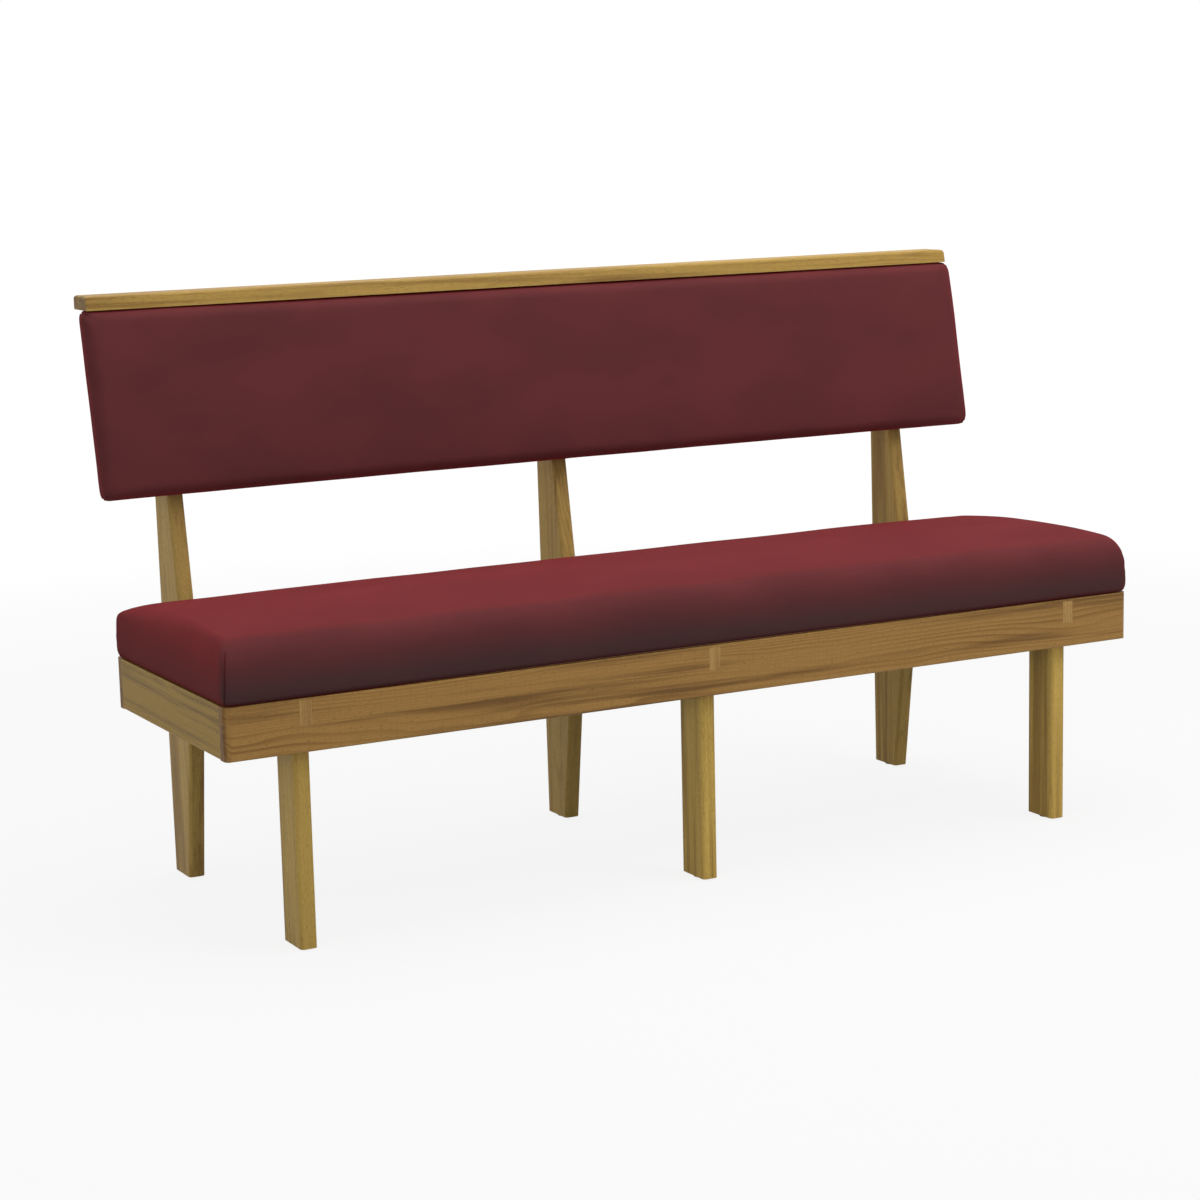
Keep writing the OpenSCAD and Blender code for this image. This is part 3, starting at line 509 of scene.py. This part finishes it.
def makeGlide(values):
    material, tree, shader = newMaterial("glidePlastic")
    place = objectPlace(tree)
    grain = noiseOf(tree, place, values["grain"])["Fac"]
    scuffs = noiseOf(tree, place, values["scuffs"], detail=3)["Fac"]
    scuffs = rampUp(tree, scuffs, *values["scuffLimits"])
    colour = blendTones(tree, scuffs, tone(*values["plastic"]), tone(*values["scuffed"]))
    feed(tree, shader["Base Color"], colour)
    roughness = calc(tree, "MULTIPLY_ADD", grain, values["grainRoughness"], values["roughness"])
    feed(tree, shader["Roughness"], roughness)
    addBump(tree, shader, grain, *values["bump"])
    return material


padLean = math.radians(11.6)
dress("seat_board", makePlywood("seatPlywood", (0, 0, 0)))
dress("back_board", makePlywood("backPlywood", (math.pi / 2 - padLean, 0, 0)))
zincSteel = makeSteel(steelValues)
for node in ("front_bolts", "rear_bolts", "barrel_nuts"):
    dress(node, zincSteel)
for node in ("block_screws", "seat_screws", "back_screws"):
    dress(node, zincSteel)
dress("glides", makeGlide(glideValues))
print("boards, fasteners and glides finished")

# Cloth and foam

fabricValues = {
    "lit": (109, 53, 55), "deep": (100, 50, 52), "pileLimits": (0.35, 0.65),
    "slubLimits": (0.5, 0.7), "slubShare": 0.35, "slubHeight": 0.5,
    "gap": (60, 35, 37), "gapShare": 0.8, "gapRoughness": 0.1,
    # Painted shade: darker towards the lower edges of the sides
    "sideShade": (60, 53, 52), "sideShadeShare": 0.7, "sideShadeLimits": (-0.1, 0.8),
    # Painted shadow in the crease along the board
    "boardEdgeShadow": (36, 27, 26), "boardEdgeShadowShare": 0.7, "boardEdgeShadowLimits": (0.86, 0.98),
    "roughness": 0.85,
    "gloss": 0.05,
    "sheen": 0.58, "sheenTone": (232, 34, 44), "sheenRoughness": 0.35,
    "bump": (0.7, 0.0004),
}


def makeFabric(values):
    material, tree, shader = newMaterial("burgundyFabric")
    cloth = useGroup(tree, weave, Place=clothPlace(tree))
    deep = tone(*values["deep"])
    pile = rampUp(tree, cloth["Pile"], *values["pileLimits"])
    colour = blendTones(tree, pile, deep, tone(*values["lit"]))
    slub = rampUp(tree, cloth["Slub"], *values["slubLimits"], 0.0, values["slubShare"])
    colour = blendTones(tree, slub, colour, deep)
    gap = calc(tree, "MULTIPLY", cloth["Gap"], values["gapShare"])
    colour = blendTones(tree, gap, colour, tone(*values["gap"]))
    wayDown = addNode(tree, "ShaderNodeAttribute", {"attribute_name": "wayDown"}).outputs["Fac"]
    # Painted shade down the sides and painted shadow in the crease along the board, weighted by
    # wayDown
    for mark in ("sideShade", "boardEdgeShadow"):
        share = rampUp(tree, wayDown, *values[mark + "Limits"])
        share = calc(tree, "MULTIPLY", share, values[mark + "Share"])
        colour = blendTones(tree, share, colour, tone(*values[mark]))
    feed(tree, shader["Base Color"], colour)
    roughness = calc(
        tree, "MULTIPLY_ADD", cloth["Gap"], values["gapRoughness"], values["roughness"])
    feed(tree, shader["Roughness"], roughness)
    shader["Specular IOR Level"].default_value = values["gloss"]
    shader["Sheen Weight"].default_value = values["sheen"]
    shader["Sheen Roughness"].default_value = values["sheenRoughness"]
    shader["Sheen Tint"].default_value = tone(*values["sheenTone"])
    height = calc(tree, "MULTIPLY_ADD", cloth["Slub"], values["slubHeight"], cloth["Crown"])
    addBump(tree, shader, height, *values["bump"])
    return material


foamLook = {
    "cells": 900.0,  # per metre
    "shaded": (214, 198, 150), "cream": (240, 230, 196),
    "roughness": 0.95,
    "bump": (0.6, 0.0006),
}


def makeFoam(values):
    material, tree, shader = newMaterial("creamFoam")
    cells = addNode(
        tree, "ShaderNodeTexVoronoi", Vector=objectPlace(tree), Scale=values["cells"],
    ).outputs["Distance"]
    colour = blendTones(tree, cells, tone(*values["shaded"]), tone(*values["cream"]))
    feed(tree, shader["Base Color"], colour)
    shader["Roughness"].default_value = values["roughness"]
    addBump(tree, shader, cells, *values["bump"])
    return material


liningLook = {
    "hairs": (380, 900, 1), "hairLimits": (0.35, 0.7),
    "dots": 420.0, "dotHeight": 0.5,  # pressed-in dots per metre
    "black": (26, 26, 28), "grey": (58, 57, 58),
    "roughness": 0.9,
    "bump": (0.4, 0.0002),
}


def makeDustCloth(values):
    material, tree, shader = newMaterial("blackLining")
    place = clothPlace(tree)
    hairs = noiseOf(tree, place, values["hairs"], detail=4, roughness=0.7)["Fac"]
    dots = addNode(
        tree, "ShaderNodeTexVoronoi", Vector=place, Scale=values["dots"]).outputs["Distance"]
    share = rampUp(tree, hairs, *values["hairLimits"])
    colour = blendTones(tree, share, tone(*values["black"]), tone(*values["grey"]))
    feed(tree, shader["Base Color"], colour)
    shader["Roughness"].default_value = values["roughness"]
    height = calc(tree, "MULTIPLY_ADD", dots, values["dotHeight"], hairs)
    addBump(tree, shader, height, *values["bump"])
    return material


burgundyFabric = makeFabric(fabricValues)
creamFoam = makeFoam(foamLook)
blackLining = makeDustCloth(liningLook)
print("cloth and foam materials made")

# Stuffed pads

seatPad = {
    "length": 1.523, "depth": 0.436,
    "walls": (0.043, 0.059),  # upright part of the sides, front and rear
    "tops": (0.087, 0.092, 0.075),  # height at the front, the crown and the rear
    "rolls": (0.032, 0.024),  # reach of the round edge, front and rear
    "endRolls": (0.018, 0.042),  # reach at the ends, near their front and near their rear
    "cornerGrowth": (0.2, 0.6),  # how much rounder the corners get up the roll
    "bulges": (0.003, 0.0012, 0.003),  # of the front, the rear and the ends
    "bulgePeak": 0.4,  # of the upright part
    "board": 0.012, "lean": 0.0,
    "grid": (116, 42), "rows": 9,
    "place": Matrix.Translation((0, -0.27192, 0.361)),
    # Strength of the painted shade down the sides and in the crease
    "paintedShadeWeight": 1.0,
}
backPad = {
    "length": 1.523, "depth": 0.28216,
    "walls": (0.028, 0.028),
    "tops": (0.044, 0.047, 0.044),
    "rolls": (0.016, 0.016),
    "endRolls": (0.018, 0.018),
    "cornerGrowth": (0.5, 0.5),
    "bulges": (0.0025, 0.0, 0.0075),
    "bulgePeak": 1.0,
    "board": 0.015, "lean": math.tan(padLean),
    "grid": (116, 30), "rows": 6,
    "place": Matrix.Translation((0, 0.20102, 0.586))
    @ Matrix.Rotation(math.pi / 2 - padLean, 4, "X") @ Matrix.Translation((0, 0, 0.004)),
    # Strength of the painted shade down the sides and in the crease
    "paintedShadeWeight": 0.85,
}
padShape = {
    "corner": 0.013, "cornerLeast": 0.002,  # radius of the corners seen from above
    "cornerLimit": 0.3,  # their largest share of the depth
    "drawIn": 0.0015, "drawInPower": 6,  # of the sides between the corners
    "crownPlace": 0.33,  # of the depth
    "bulgeTop": 0.6,  # share of the bulge left at the foot of the roll
    "ease": 0.84,  # how much closer the rows lie towards the edges
    "rowPower": 1.15,  # how much closer the rows lie towards the roll
    "fold": 0.0015,  # softness of the fold under the board
    "hem": 0.0002,  # lift of the next row
    "turnedUnder": 0.028, "underRows": 3, "underPower": 1.6,
    "underCloth": 0.03,
    "cloth": 0.0012,  # thickness
}
sewing = {
    "depth": 0.0018, "width": 0.0018,
    "lip": 0.0006, "lipPlace": 0.004,
    "seamTop": 0.008,  # fades out over this much of the roll
    "gather": 0.0007, "gatherReach": 0.022,  # puckers beside a corner seam
    "gatherWaves": (110, 30),  # per metre down and along
    "boardGrip": 0.016,  # beside the board the seam is only half as deep
    "staplePitch": 0.075, "staplePull": 0.0003, "stapleReach": 0.014,
    "give": 0.0009, "giveWaves": (4, 5),  # slow waves of the stuffing
}
onRim = 0.9999  # a share beyond this lies on the rim


def lerp(first, second, share):
    return first + (second - first) * share


def topHeight(pad, share):
    front, crown, rear = pad["tops"]
    place = padShape["crownPlace"]
    if share < place:
        return lerp(front, crown, math.sin(math.pi / 2 * share / place))
    return rear + (crown - rear) * math.cos(math.pi / 2 * (share - place) / (1 - place))


def swell(pad, side):
    peak = pad["bulgePeak"]
    if side <= peak:
        return math.sin(math.pi / 2 * side / peak)
    return 1 - (1 - padShape["bulgeTop"]) * (side - peak) / (1 - peak)


def halfRolls(pad):
    # Cloth from the middle of each roll to its top: front, rear and ends
    rises = (pad["tops"][0] - pad["walls"][0], pad["tops"][2] - pad["walls"][1])
    rises += (pad["tops"][1] - sum(pad["walls"]) / 2,)
    rolls = pad["rolls"] + (sum(pad["endRolls"]) / 2,)
    return [math.pi / 8 * (roll + rise) for roll, rise in zip(rolls, rises)]


def sideLength(pad):
    # Cloth from the middle of the roll down to the lower edge
    return halfRolls(pad)[2] + sum(pad["walls"]) / 2


def easedPlace(share):
    # share from -1 to 1, with the steps drawn towards both ends
    return share + padShape["ease"] * math.sin(math.pi * share) / math.pi


def roundedCorner(x, y, halfX, halfY, radius):
    # Draws a point of a rectangle onto the same rectangle with round corners
    overX, overY = abs(x) - (halfX - radius), abs(y) - (halfY - radius)
    if overX > 0 and overY > 0:
        shrink = max(overX, overY) / math.hypot(overX, overY)
        x = math.copysign(halfX - radius + overX * shrink, x)
        y = math.copysign(halfY - radius + overY * shrink, y)
    return x, y


def padPoint(pad, shareX, shareY, side, turn, inside, shrink=0.0, under=0.0, lowest=0.0):
    # shareX, shareY: place on a ring, -1 to 1; side: share of the upright side; turn: angle
    # round the roll; inside: the point lies within the ring; under: way in under the board
    shape = padShape
    front, rear = pad["rolls"]
    end = lerp(*pad["endRolls"], (shareY + 1) / 2)
    growth = lerp(*pad["cornerGrowth"], (shareY + 1) / 2)
    bulgeFront, bulgeRear, bulgeEnd = (bulge * swell(pad, side) for bulge in pad["bulges"])
    curl = 1 - math.cos(turn)
    length, depth = pad["length"], pad["depth"]
    lift = math.sin(turn)
    rearRise = max(lowest, pad["walls"][1] * side)
    rearRise += (pad["tops"][2] - pad["walls"][1] - shrink) * lift
    inset = shrink + under
    halfX = length / 2 - inset + bulgeEnd - end * curl
    yFront = inset - bulgeFront + front * curl
    yRear = depth - inset + bulgeRear - rear * curl - pad["lean"] * rearRise
    halfY = (yRear - yFront) / 2
    radius = shape["corner"] - shrink + growth * end * curl
    radius = max(min(radius, shape["cornerLimit"] * 2 * halfY), shape["cornerLeast"])
    scale = max(abs(shareX), abs(shareY)) if inside else 1.0
    sizes = (scale * halfX, scale * halfY, scale * radius)
    x, y = roundedCorner(shareX * halfX, shareY * halfY, *sizes)
    pull = shape["drawIn"] * (1 - (x / halfX) ** 2) * scale ** shape["drawInPower"]
    y = (yFront + yRear) / 2 + y - shareY * pull
    share = min(max(y / depth, 0), 1)
    wall = lerp(*pad["walls"], share)
    z = max(lowest, wall * side) + (topHeight(pad, share) - wall - shrink) * lift
    return Vector((x, y, z))


def topSpans(pad):
    # Half the cloth over the top each way, between the middles of opposite rolls
    frontArc, rearArc, endArc = halfRolls(pad)
    spanX = (pad["length"] - sum(pad["endRolls"])) / 2 + endArc
    spanY = (pad["depth"] - pad["rolls"][0] - pad["rolls"][1] + frontArc + rearArc) / 2
    return spanX, spanY


def clothDowns(pad, rows, underRows):
    # Cloth from the middle of the roll down to each row
    side = sideLength(pad)
    downs = []
    for row in range(rows + underRows + 1):
        under = max(row - rows, 0) / max(underRows, 1) * padShape["underCloth"]
        downs.append(side * min(row / rows, 1) ** padShape["rowPower"] + under)
    return downs


def layCloth(mesh, pad, downs):
    # UV map in metres of cloth, which folds down over each side by itself
    spanX, spanY = topSpans(pad)
    clothLayer = mesh.loops.layers.uv.new("cloth")
    for face in mesh.faces:
        middle = face.calc_center_median()
        onEnd, onLong = abs(middle.x) > onRim, abs(middle.y) > onRim
        for loop in face.loops:
            x, y, z = loop.vert.co
            down = downs[round(-z)]
            u, v = easedPlace(x) * spanX, easedPlace(y) * spanY
            if onEnd:
                u = math.copysign(abs(u) + down, middle.x)
            elif onLong:
                v = math.copysign(abs(v) + down, middle.y)
            loop[clothLayer].uv = (u, v)


def topPoint(pad, placeX, placeY, shrink, lowest):
    # A point of the top grid, whose outermost rings climb the upper half of the roll
    frontArc, rearArc, endArc = halfRolls(pad)
    spanX, spanY = topSpans(pad)
    alongX, alongY = placeX * spanX, placeY * spanY
    fromEnd, fromFront, fromRear = spanX - abs(alongX), spanY + alongY, spanY - alongY
    wayIn = min(fromEnd / endArc, fromFront / frontArc, fromRear / rearArc, 1)
    turn = math.pi / 4 * (1 + wayIn)
    ringX = spanX - wayIn * endArc
    ringY = spanY - wayIn * (frontArc + rearArc) / 2
    ringMiddle = wayIn * (frontArc - rearArc) / 2
    shares = (alongX / ringX, (alongY - ringMiddle) / ringY)
    return padPoint(pad, *shares, 1.0, turn, wayIn >= 1, shrink, 0.0, lowest)


def sidePoint(pad, placeX, placeY, row, rows, underRows, shrink, lowest):
    # A point of the rows below the top: lower half of the roll, upright side, turned under
    wallMean = sum(pad["walls"]) / 2
    wallShare = wallMean / (wallMean + halfRolls(pad)[2])
    share = 1 - min(row / rows, 1) ** padShape["rowPower"]
    side = min(share / wallShare, 1)
    turn = math.pi / 4 * max(share - wallShare, 0) / (1 - wallShare)
    under = 0.0
    if row > rows:
        under = padShape["turnedUnder"] * ((row - rows) / underRows) ** padShape["underPower"]
    point = padPoint(pad, placeX, placeY, side, turn, False, shrink, under, lowest)
    if row == rows and underRows:
        point.z += padShape["fold"]
    if row == rows + 1 and underRows:
        point.z += padShape["hem"]
    return point


def buildPad(pad, gridSize, rows, underRows, shrink=0.0, lowest=0.0):
    # A grid for the top, whose rim is drawn down the sides and then in under the board
    mesh = bmesh.new()
    bmesh.ops.create_grid(mesh, x_segments=gridSize[0], y_segments=gridSize[1], size=1)
    for row in range(rows + underRows):
        rim = [edge for edge in mesh.edges if edge.is_boundary]
        drawn = bmesh.ops.extrude_edge_only(mesh, edges=rim)["geom"]
        verts = [part for part in drawn if isinstance(part, bmesh.types.BMVert)]
        bmesh.ops.translate(mesh, verts=verts, vec=(0, 0, -1))
    downs = clothDowns(pad, rows, underRows)
    layCloth(mesh, pad, downs)
    ownPlace = mesh.verts.layers.float_vector.new("ownPlace")
    for vert in mesh.verts:
        row = round(-vert.co.z)
        placeX, placeY = easedPlace(vert.co.x), easedPlace(vert.co.y)
        vert[ownPlace] = (placeX, placeY, downs[row])
        if row == 0:
            vert.co = topPoint(pad, placeX, placeY, shrink, lowest)
        else:
            vert.co = sidePoint(pad, placeX, placeY, row, rows, underRows, shrink, lowest)
    return mesh


def finishPiece(name, mesh, material, matrix):
    bmesh.ops.transform(mesh, matrix=matrix, verts=mesh.verts)
    data = bpy.data.meshes.new(name)
    mesh.to_mesh(data)
    mesh.free()
    piece = bpy.data.objects.new(name, data)
    scene.collection.objects.link(piece)
    data.materials.append(material)
    for polygon in data.polygons:
        polygon.use_smooth = True
    return piece


clothValues = {
    "frames": 20, "pressure": 4.0, "quality": 5,
    "tension": 30.0, "shear": 10.0, "bending": 1.5, "mass": 0.3,
    "out": 0.003, "in": 0.0006, "along": 0.0015,  # furthest that a point may move
    "evening": 24,  # rounds in which the foam inside evens out the swelling
    "sewnEdge": 0.0005,  # the cloth is held from this far above its lower edge
}


def runCloth(piece, held):
    # Where the points of the cover end up as cloth under pressure
    piece.vertex_groups.new(name="held").add(held, 1.0, "REPLACE")
    cloth = piece.modifiers.new("cloth", "CLOTH")
    settings = cloth.settings
    settings.quality = clothValues["quality"]
    settings.mass = clothValues["mass"]
    settings.tension_stiffness = settings.compression_stiffness = clothValues["tension"]
    settings.shear_stiffness = clothValues["shear"]
    settings.bending_stiffness = clothValues["bending"]
    settings.use_pressure = True
    settings.uniform_pressure_force = clothValues["pressure"]
    settings.vertex_group_mass = "held"
    settings.effector_weights.gravity = 0
    cloth.collision_settings.use_collision = False
    cloth.point_cache.frame_start, cloth.point_cache.frame_end = 1, clothValues["frames"]
    for step in range(1, clothValues["frames"] + 1):
        scene.frame_set(step)
    shown = piece.evaluated_get(bpy.context.evaluated_depsgraph_get())
    finish = [vert.co.copy() for vert in shown.data.vertices]
    piece.modifiers.remove(cloth)
    piece.vertex_groups.clear()
    scene.frame_set(1)
    return finish


def evenOut(rises, around, fixed):
    # Each rise becomes the mean of the rises around it, apart from the fixed ones
    evened = []
    for index, rise in enumerate(rises):
        near = [rises[other] for other in around[index]]
        evened.append(rise if index in fixed else sum(near) / len(near))
    return evened


def inflate(piece, pad):
    # Lets the cover swell as cloth from its sewn lower edge, and keeps the swelling small
    start = [(vert.co.copy(), vert.normal.copy()) for vert in piece.data.vertices]
    places = piece.data.attributes["ownPlace"].data
    edge = sideLength(pad) - clothValues["sewnEdge"]
    held = [index for index, place in enumerate(places) if place.vector.z > edge]
    finish = runCloth(piece, held)
    rises = [(last - first).dot(outward) for (first, outward), last in zip(start, finish)]
    rises = [min(max(rise, -clothValues["in"]), clothValues["out"]) for rise in rises]
    around = [[index] for index in range(len(start))]
    for edge in piece.data.edges:
        first, last = edge.vertices
        around[first].append(last)
        around[last].append(first)
    fixed = set(held)
    for step in range(clothValues["evening"]):
        rises = evenOut(rises, around, fixed)
    for vert, (first, outward), last, rise in zip(piece.data.vertices, start, finish, rises):
        along = (last - first) - (last - first).dot(outward) * outward
        if along.length > clothValues["along"]:
            along.length = clothValues["along"]
        vert.co = first + along + outward * rise


def subdivide(piece):
    # One smoothing subdivision, kept in the mesh so that the sewing can follow it
    rounding = piece.modifiers.new("rounding", "SUBSURF")
    rounding.levels = rounding.render_levels = 1
    shown = piece.evaluated_get(bpy.context.evaluated_depsgraph_get())
    coarse = piece.data
    piece.data = bpy.data.meshes.new_from_object(shown)
    piece.modifiers.remove(rounding)
    name = coarse.name
    bpy.data.meshes.remove(coarse)
    piece.data.name = name


def seamMove(pad, x, y, down, edge):
    # Outward move beside the corner seams and along the stapled edge
    along = (1 - abs(x)) * pad["length"] / 2 + (1 - abs(y)) * pad["depth"] / 2
    seam = min(down / sewing["seamTop"], 1)
    seam *= min(0.5 + (edge - down) / sewing["boardGrip"], 1)
    groove = math.exp(-(along / sewing["width"]) ** 2)
    lips = math.exp(-((along - sewing["lipPlace"]) / sewing["width"]) ** 2)
    # A number of its own for each side of each corner
    side = math.copysign(1, x) + 2 * math.copysign(1, y) + (5 if abs(y) > onRim else 0)
    downWaves, alongWaves = sewing["gatherWaves"]
    gather = noise.noise(Vector((down * downWaves, along * alongWaves, side)))
    gather *= sewing["gather"] * math.exp(-along / sewing["gatherReach"])
    wave = math.sin(math.tau * along / sewing["staplePitch"])
    staples = sewing["staplePull"] * (wave - 1) / 2
    staples *= math.exp((down - edge) / sewing["stapleReach"])
    return seam * (sewing["lip"] * lips - sewing["depth"] * groove + gather) + staples


def sewCover(piece, pad):
    # Draws in the four corner seams, gathers the cloth beside them and dimples the stapled edge
    edge = sideLength(pad)
    places = [place.vector.copy() for place in piece.data.attributes["ownPlace"].data]
    waves = sewing["giveWaves"]
    moves = []
    for vert, (x, y, down) in zip(piece.data.vertices, places):
        spot = (x * pad["length"] * waves[0], y * pad["depth"] * waves[1], pad["depth"])
        move = sewing["give"] * noise.noise(Vector(spot)) * (1 - min(down / edge, 1))
        if 0 < down < edge:
            move += seamMove(pad, x, y, down, edge)
        moves.append(vert.normal * move)
    for vert, move in zip(piece.data.vertices, moves):
        vert.co += move
    # wayDown weights the painted shade down the sides and the painted shadow in the crease
    wayDown = piece.data.attributes.new("wayDown", "FLOAT", "POINT")
    ways = [pad["paintedShadeWeight"] * min(place.z / edge, 1) for place in places]
    wayDown.data.foreach_set("value", ways)
    piece.data.attributes.remove(piece.data.attributes["ownPlace"])


def makeCushion(name, pad, replaced):
    mesh = buildPad(pad, pad["grid"], pad["rows"], padShape["underRows"])
    cover = finishPiece(name + "Cover", mesh, burgundyFabric, pad["place"])
    inflate(cover, pad)
    subdivide(cover)
    sewCover(cover, pad)
    solid = cover.modifiers.new("cloth", "SOLIDIFY")
    solid.thickness, solid.offset = padShape["cloth"], -1
    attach(cover, "root")
    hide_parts(replaced)


makeCushion("seat", seatPad, "seat_cover")
makeCushion("back", backPad, "back_cover")
print("covers made")

foamValues = {
    "shrink": 0.0046, "boardGap": 0.0003,
    "grid": (80, 26), "rows": 6,
}


def makeFoamBlock(name, pad, replaced):
    lowest = padShape["cloth"] + pad["board"] + foamValues["boardGap"]
    mesh = buildPad(pad, foamValues["grid"], foamValues["rows"], 0, foamValues["shrink"], lowest)
    rim = [edge for edge in mesh.edges if edge.is_boundary]
    bmesh.ops.contextual_create(mesh, geom=rim)
    block = finishPiece(name + "Foam", mesh, creamFoam, pad["place"])
    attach(block, "root")
    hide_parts(replaced)


makeFoamBlock("seat", seatPad, "seat_foam")
makeFoamBlock("back", backPad, "back_foam")
print("foam made")

# Covered outer back and lining under the seat

outerBack = {
    "inset": 0.003, "wider": 0.001,  # against the pad
    "thickness": 0.004, "setBack": 0.004,
    "corner": 0.013, "cornerSteps": 8,
    "edge": 0.0012, "edgeSteps": 4,
}


def makeOuterBack(values):
    mesh = bmesh.new()
    width = backPad["length"] + values["wider"] - 2 * values["inset"]
    height = backPad["depth"] - 2 * values["inset"]
    size = Matrix.Diagonal((width, height, values["thickness"], 1))
    bmesh.ops.create_cube(mesh, size=1, matrix=size)
    upright = [edge for edge in mesh.edges if edge.verts[0].co.z * edge.verts[1].co.z < 0]
    bmesh.ops.bevel(
        mesh, geom=upright, offset=values["corner"], affect="EDGES",
        segments=values["cornerSteps"], profile=0.5, material=-1,
    )
    rearRim = [edge for edge in mesh.edges if all(vert.co.z < 0 for vert in edge.verts)]
    bmesh.ops.bevel(
        mesh, geom=rearRim, offset=values["edge"], affect="EDGES",
        segments=values["edgeSteps"], profile=0.5, material=-1,
    )
    clothLayer = mesh.loops.layers.uv.new("cloth")
    for face in mesh.faces:
        for loop in face.loops:
            loop[clothLayer].uv = loop.vert.co.xy
    middle = (0, values["inset"] + height / 2, values["thickness"] / 2 - values["setBack"])
    place = backPad["place"] @ Matrix.Translation(middle)
    piece = finishPiece("outerBackPanel", mesh, burgundyFabric, place)
    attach(piece, "root")
    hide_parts("outer_back")


makeOuterBack(outerBack)

liningValues = {
    "thickness": 0.0004,
    "grid": (120, 40),
    "ripple": 0.0003, "rippleWaves": (9, 14),
}


def makeLining(values):
    low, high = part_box("dust_cover")
    size, middle = high - low, (low + high) / 2
    mesh = bmesh.new()
    columns, rows = values["grid"]
    bmesh.ops.create_grid(mesh, x_segments=columns, y_segments=rows, size=0.5)
    bmesh.ops.scale(mesh, vec=(size.x, size.y, 1), verts=mesh.verts)
    clothLayer = mesh.loops.layers.uv.new("cloth")
    for face in mesh.faces:
        for loop in face.loops:
            loop[clothLayer].uv = loop.vert.co.xy
    waves = values["rippleWaves"]
    for vert in mesh.verts:
        spot = Vector((vert.co.x * waves[0], vert.co.y * waves[1], 0))
        vert.co.z = values["ripple"] * noise.noise(spot)
    place = Matrix.Translation(middle)
    piece = finishPiece("seatLining", mesh, blackLining, place)
    solid = piece.modifiers.new("cloth", "SOLIDIFY")
    solid.thickness, solid.offset = values["thickness"], 0
    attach(piece, "root")
    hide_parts("dust_cover")


makeLining(liningValues)
print("outer back and lining made")

# Studio

studio = {
    "ambient": 0.47,
    "floorSize": 40.0,
    "floorTone": (190, 190, 190), "floorRoughness": 0.9,
    "floorWhite": 0.85,  # share of the floor's white that a shadow can't darken
    "floorGlow": 1.03,
    "fade": (1.6, 4.0),  # from here to there the floor turns into the backdrop
    "lampTarget": (0, 0, 0.45),
    "keyPlace": (1.9, -2.2, 3.4), "keyPower": 62.0, "keySize": 2.2,
    "topPlace": (0.0, 0.35, 3.4), "topPower": 58.0, "topSize": 3.0,
    "fillPlace": (-9.0, -4.6, 2.6), "fillPower": 88.0, "fillSize": 2.5,
}


def addLamp(name):
    place, power, size = (studio[name + part] for part in ("Place", "Power", "Size"))
    lamp = bpy.data.lights.new(name + "Lamp", "AREA")
    lamp.energy, lamp.size = power, size
    lampObject = bpy.data.objects.new(name + "Lamp", lamp)
    lampObject.location = place
    beam = Vector(studio["lampTarget"]) - Vector(place)
    lampObject.rotation_euler = beam.to_track_quat("-Z", "Y").to_euler()
    scene.collection.objects.link(lampObject)


def backdropShare(tree):
    # 1 where the picture, a gloss or clear glass looks at the surroundings
    path = addNode(tree, "ShaderNodeLightPath").outputs
    seen = calc(tree, "MAXIMUM", path["Is Camera Ray"], path["Is Glossy Ray"])
    return calc(tree, "MAXIMUM", seen, path["Is Transmission Ray"])


def makeBackdrop():
    world = scene.world or bpy.data.worlds.new("studio")
    scene.world = world
    world.use_nodes = True
    tree = world.node_tree
    background = tree.nodes["Background"].inputs
    background["Color"].default_value = (1, 1, 1, 1)
    strength = calc(tree, "MAXIMUM", backdropShare(tree), studio["ambient"])
    tree.links.new(strength, background["Strength"])


def makeFloorWhite():
    # White to the camera with a share of shade, fading into the backdrop, clear from below
    material, tree, shader = newMaterial("floorWhite")
    shader["Base Color"].default_value = tone(*studio["floorTone"])
    shader["Roughness"].default_value = studio["floorRoughness"]
    shader["Specular IOR Level"].default_value = 0.0
    shaded = tree.nodes["Principled BSDF"].outputs[0]
    glow = addNode(
        tree, "ShaderNodeEmission", Color=(1, 1, 1, 1), Strength=studio["floorGlow"])
    mix = addNode(tree, "ShaderNodeMixShader")
    away = vectorCalc(tree, "LENGTH", objectPlace(tree))
    white = rampUp(tree, away, *studio["fade"], studio["floorWhite"], 1.0)
    feed(tree, mix.inputs[0], calc(tree, "MULTIPLY", backdropShare(tree), white))
    feed(tree, mix.inputs[1], shaded)
    feed(tree, mix.inputs[2], glow.outputs[0])
    below = addNode(tree, "ShaderNodeMixShader")
    feed(tree, below.inputs[0], addNode(tree, "ShaderNodeNewGeometry").outputs["Backfacing"])
    feed(tree, below.inputs[1], mix.outputs[0])
    feed(tree, below.inputs[2], addNode(tree, "ShaderNodeBsdfTransparent").outputs[0])
    feed(tree, tree.nodes["Material Output"].inputs["Surface"], below.outputs[0])
    return material


def makeFloor():
    mesh = bmesh.new()
    bmesh.ops.create_grid(mesh, x_segments=1, y_segments=1, size=studio["floorSize"] / 2)
    data = bpy.data.meshes.new("floor")
    mesh.to_mesh(data)
    mesh.free()
    floor = bpy.data.objects.new("floor", data)
    scene.collection.objects.link(floor)
    data.materials.append(makeFloorWhite())


makeBackdrop()
makeFloor()
for lamp in ("key", "top", "fill"):
    addLamp(lamp)
scene.view_settings.view_transform = "Standard"
print("studio set")
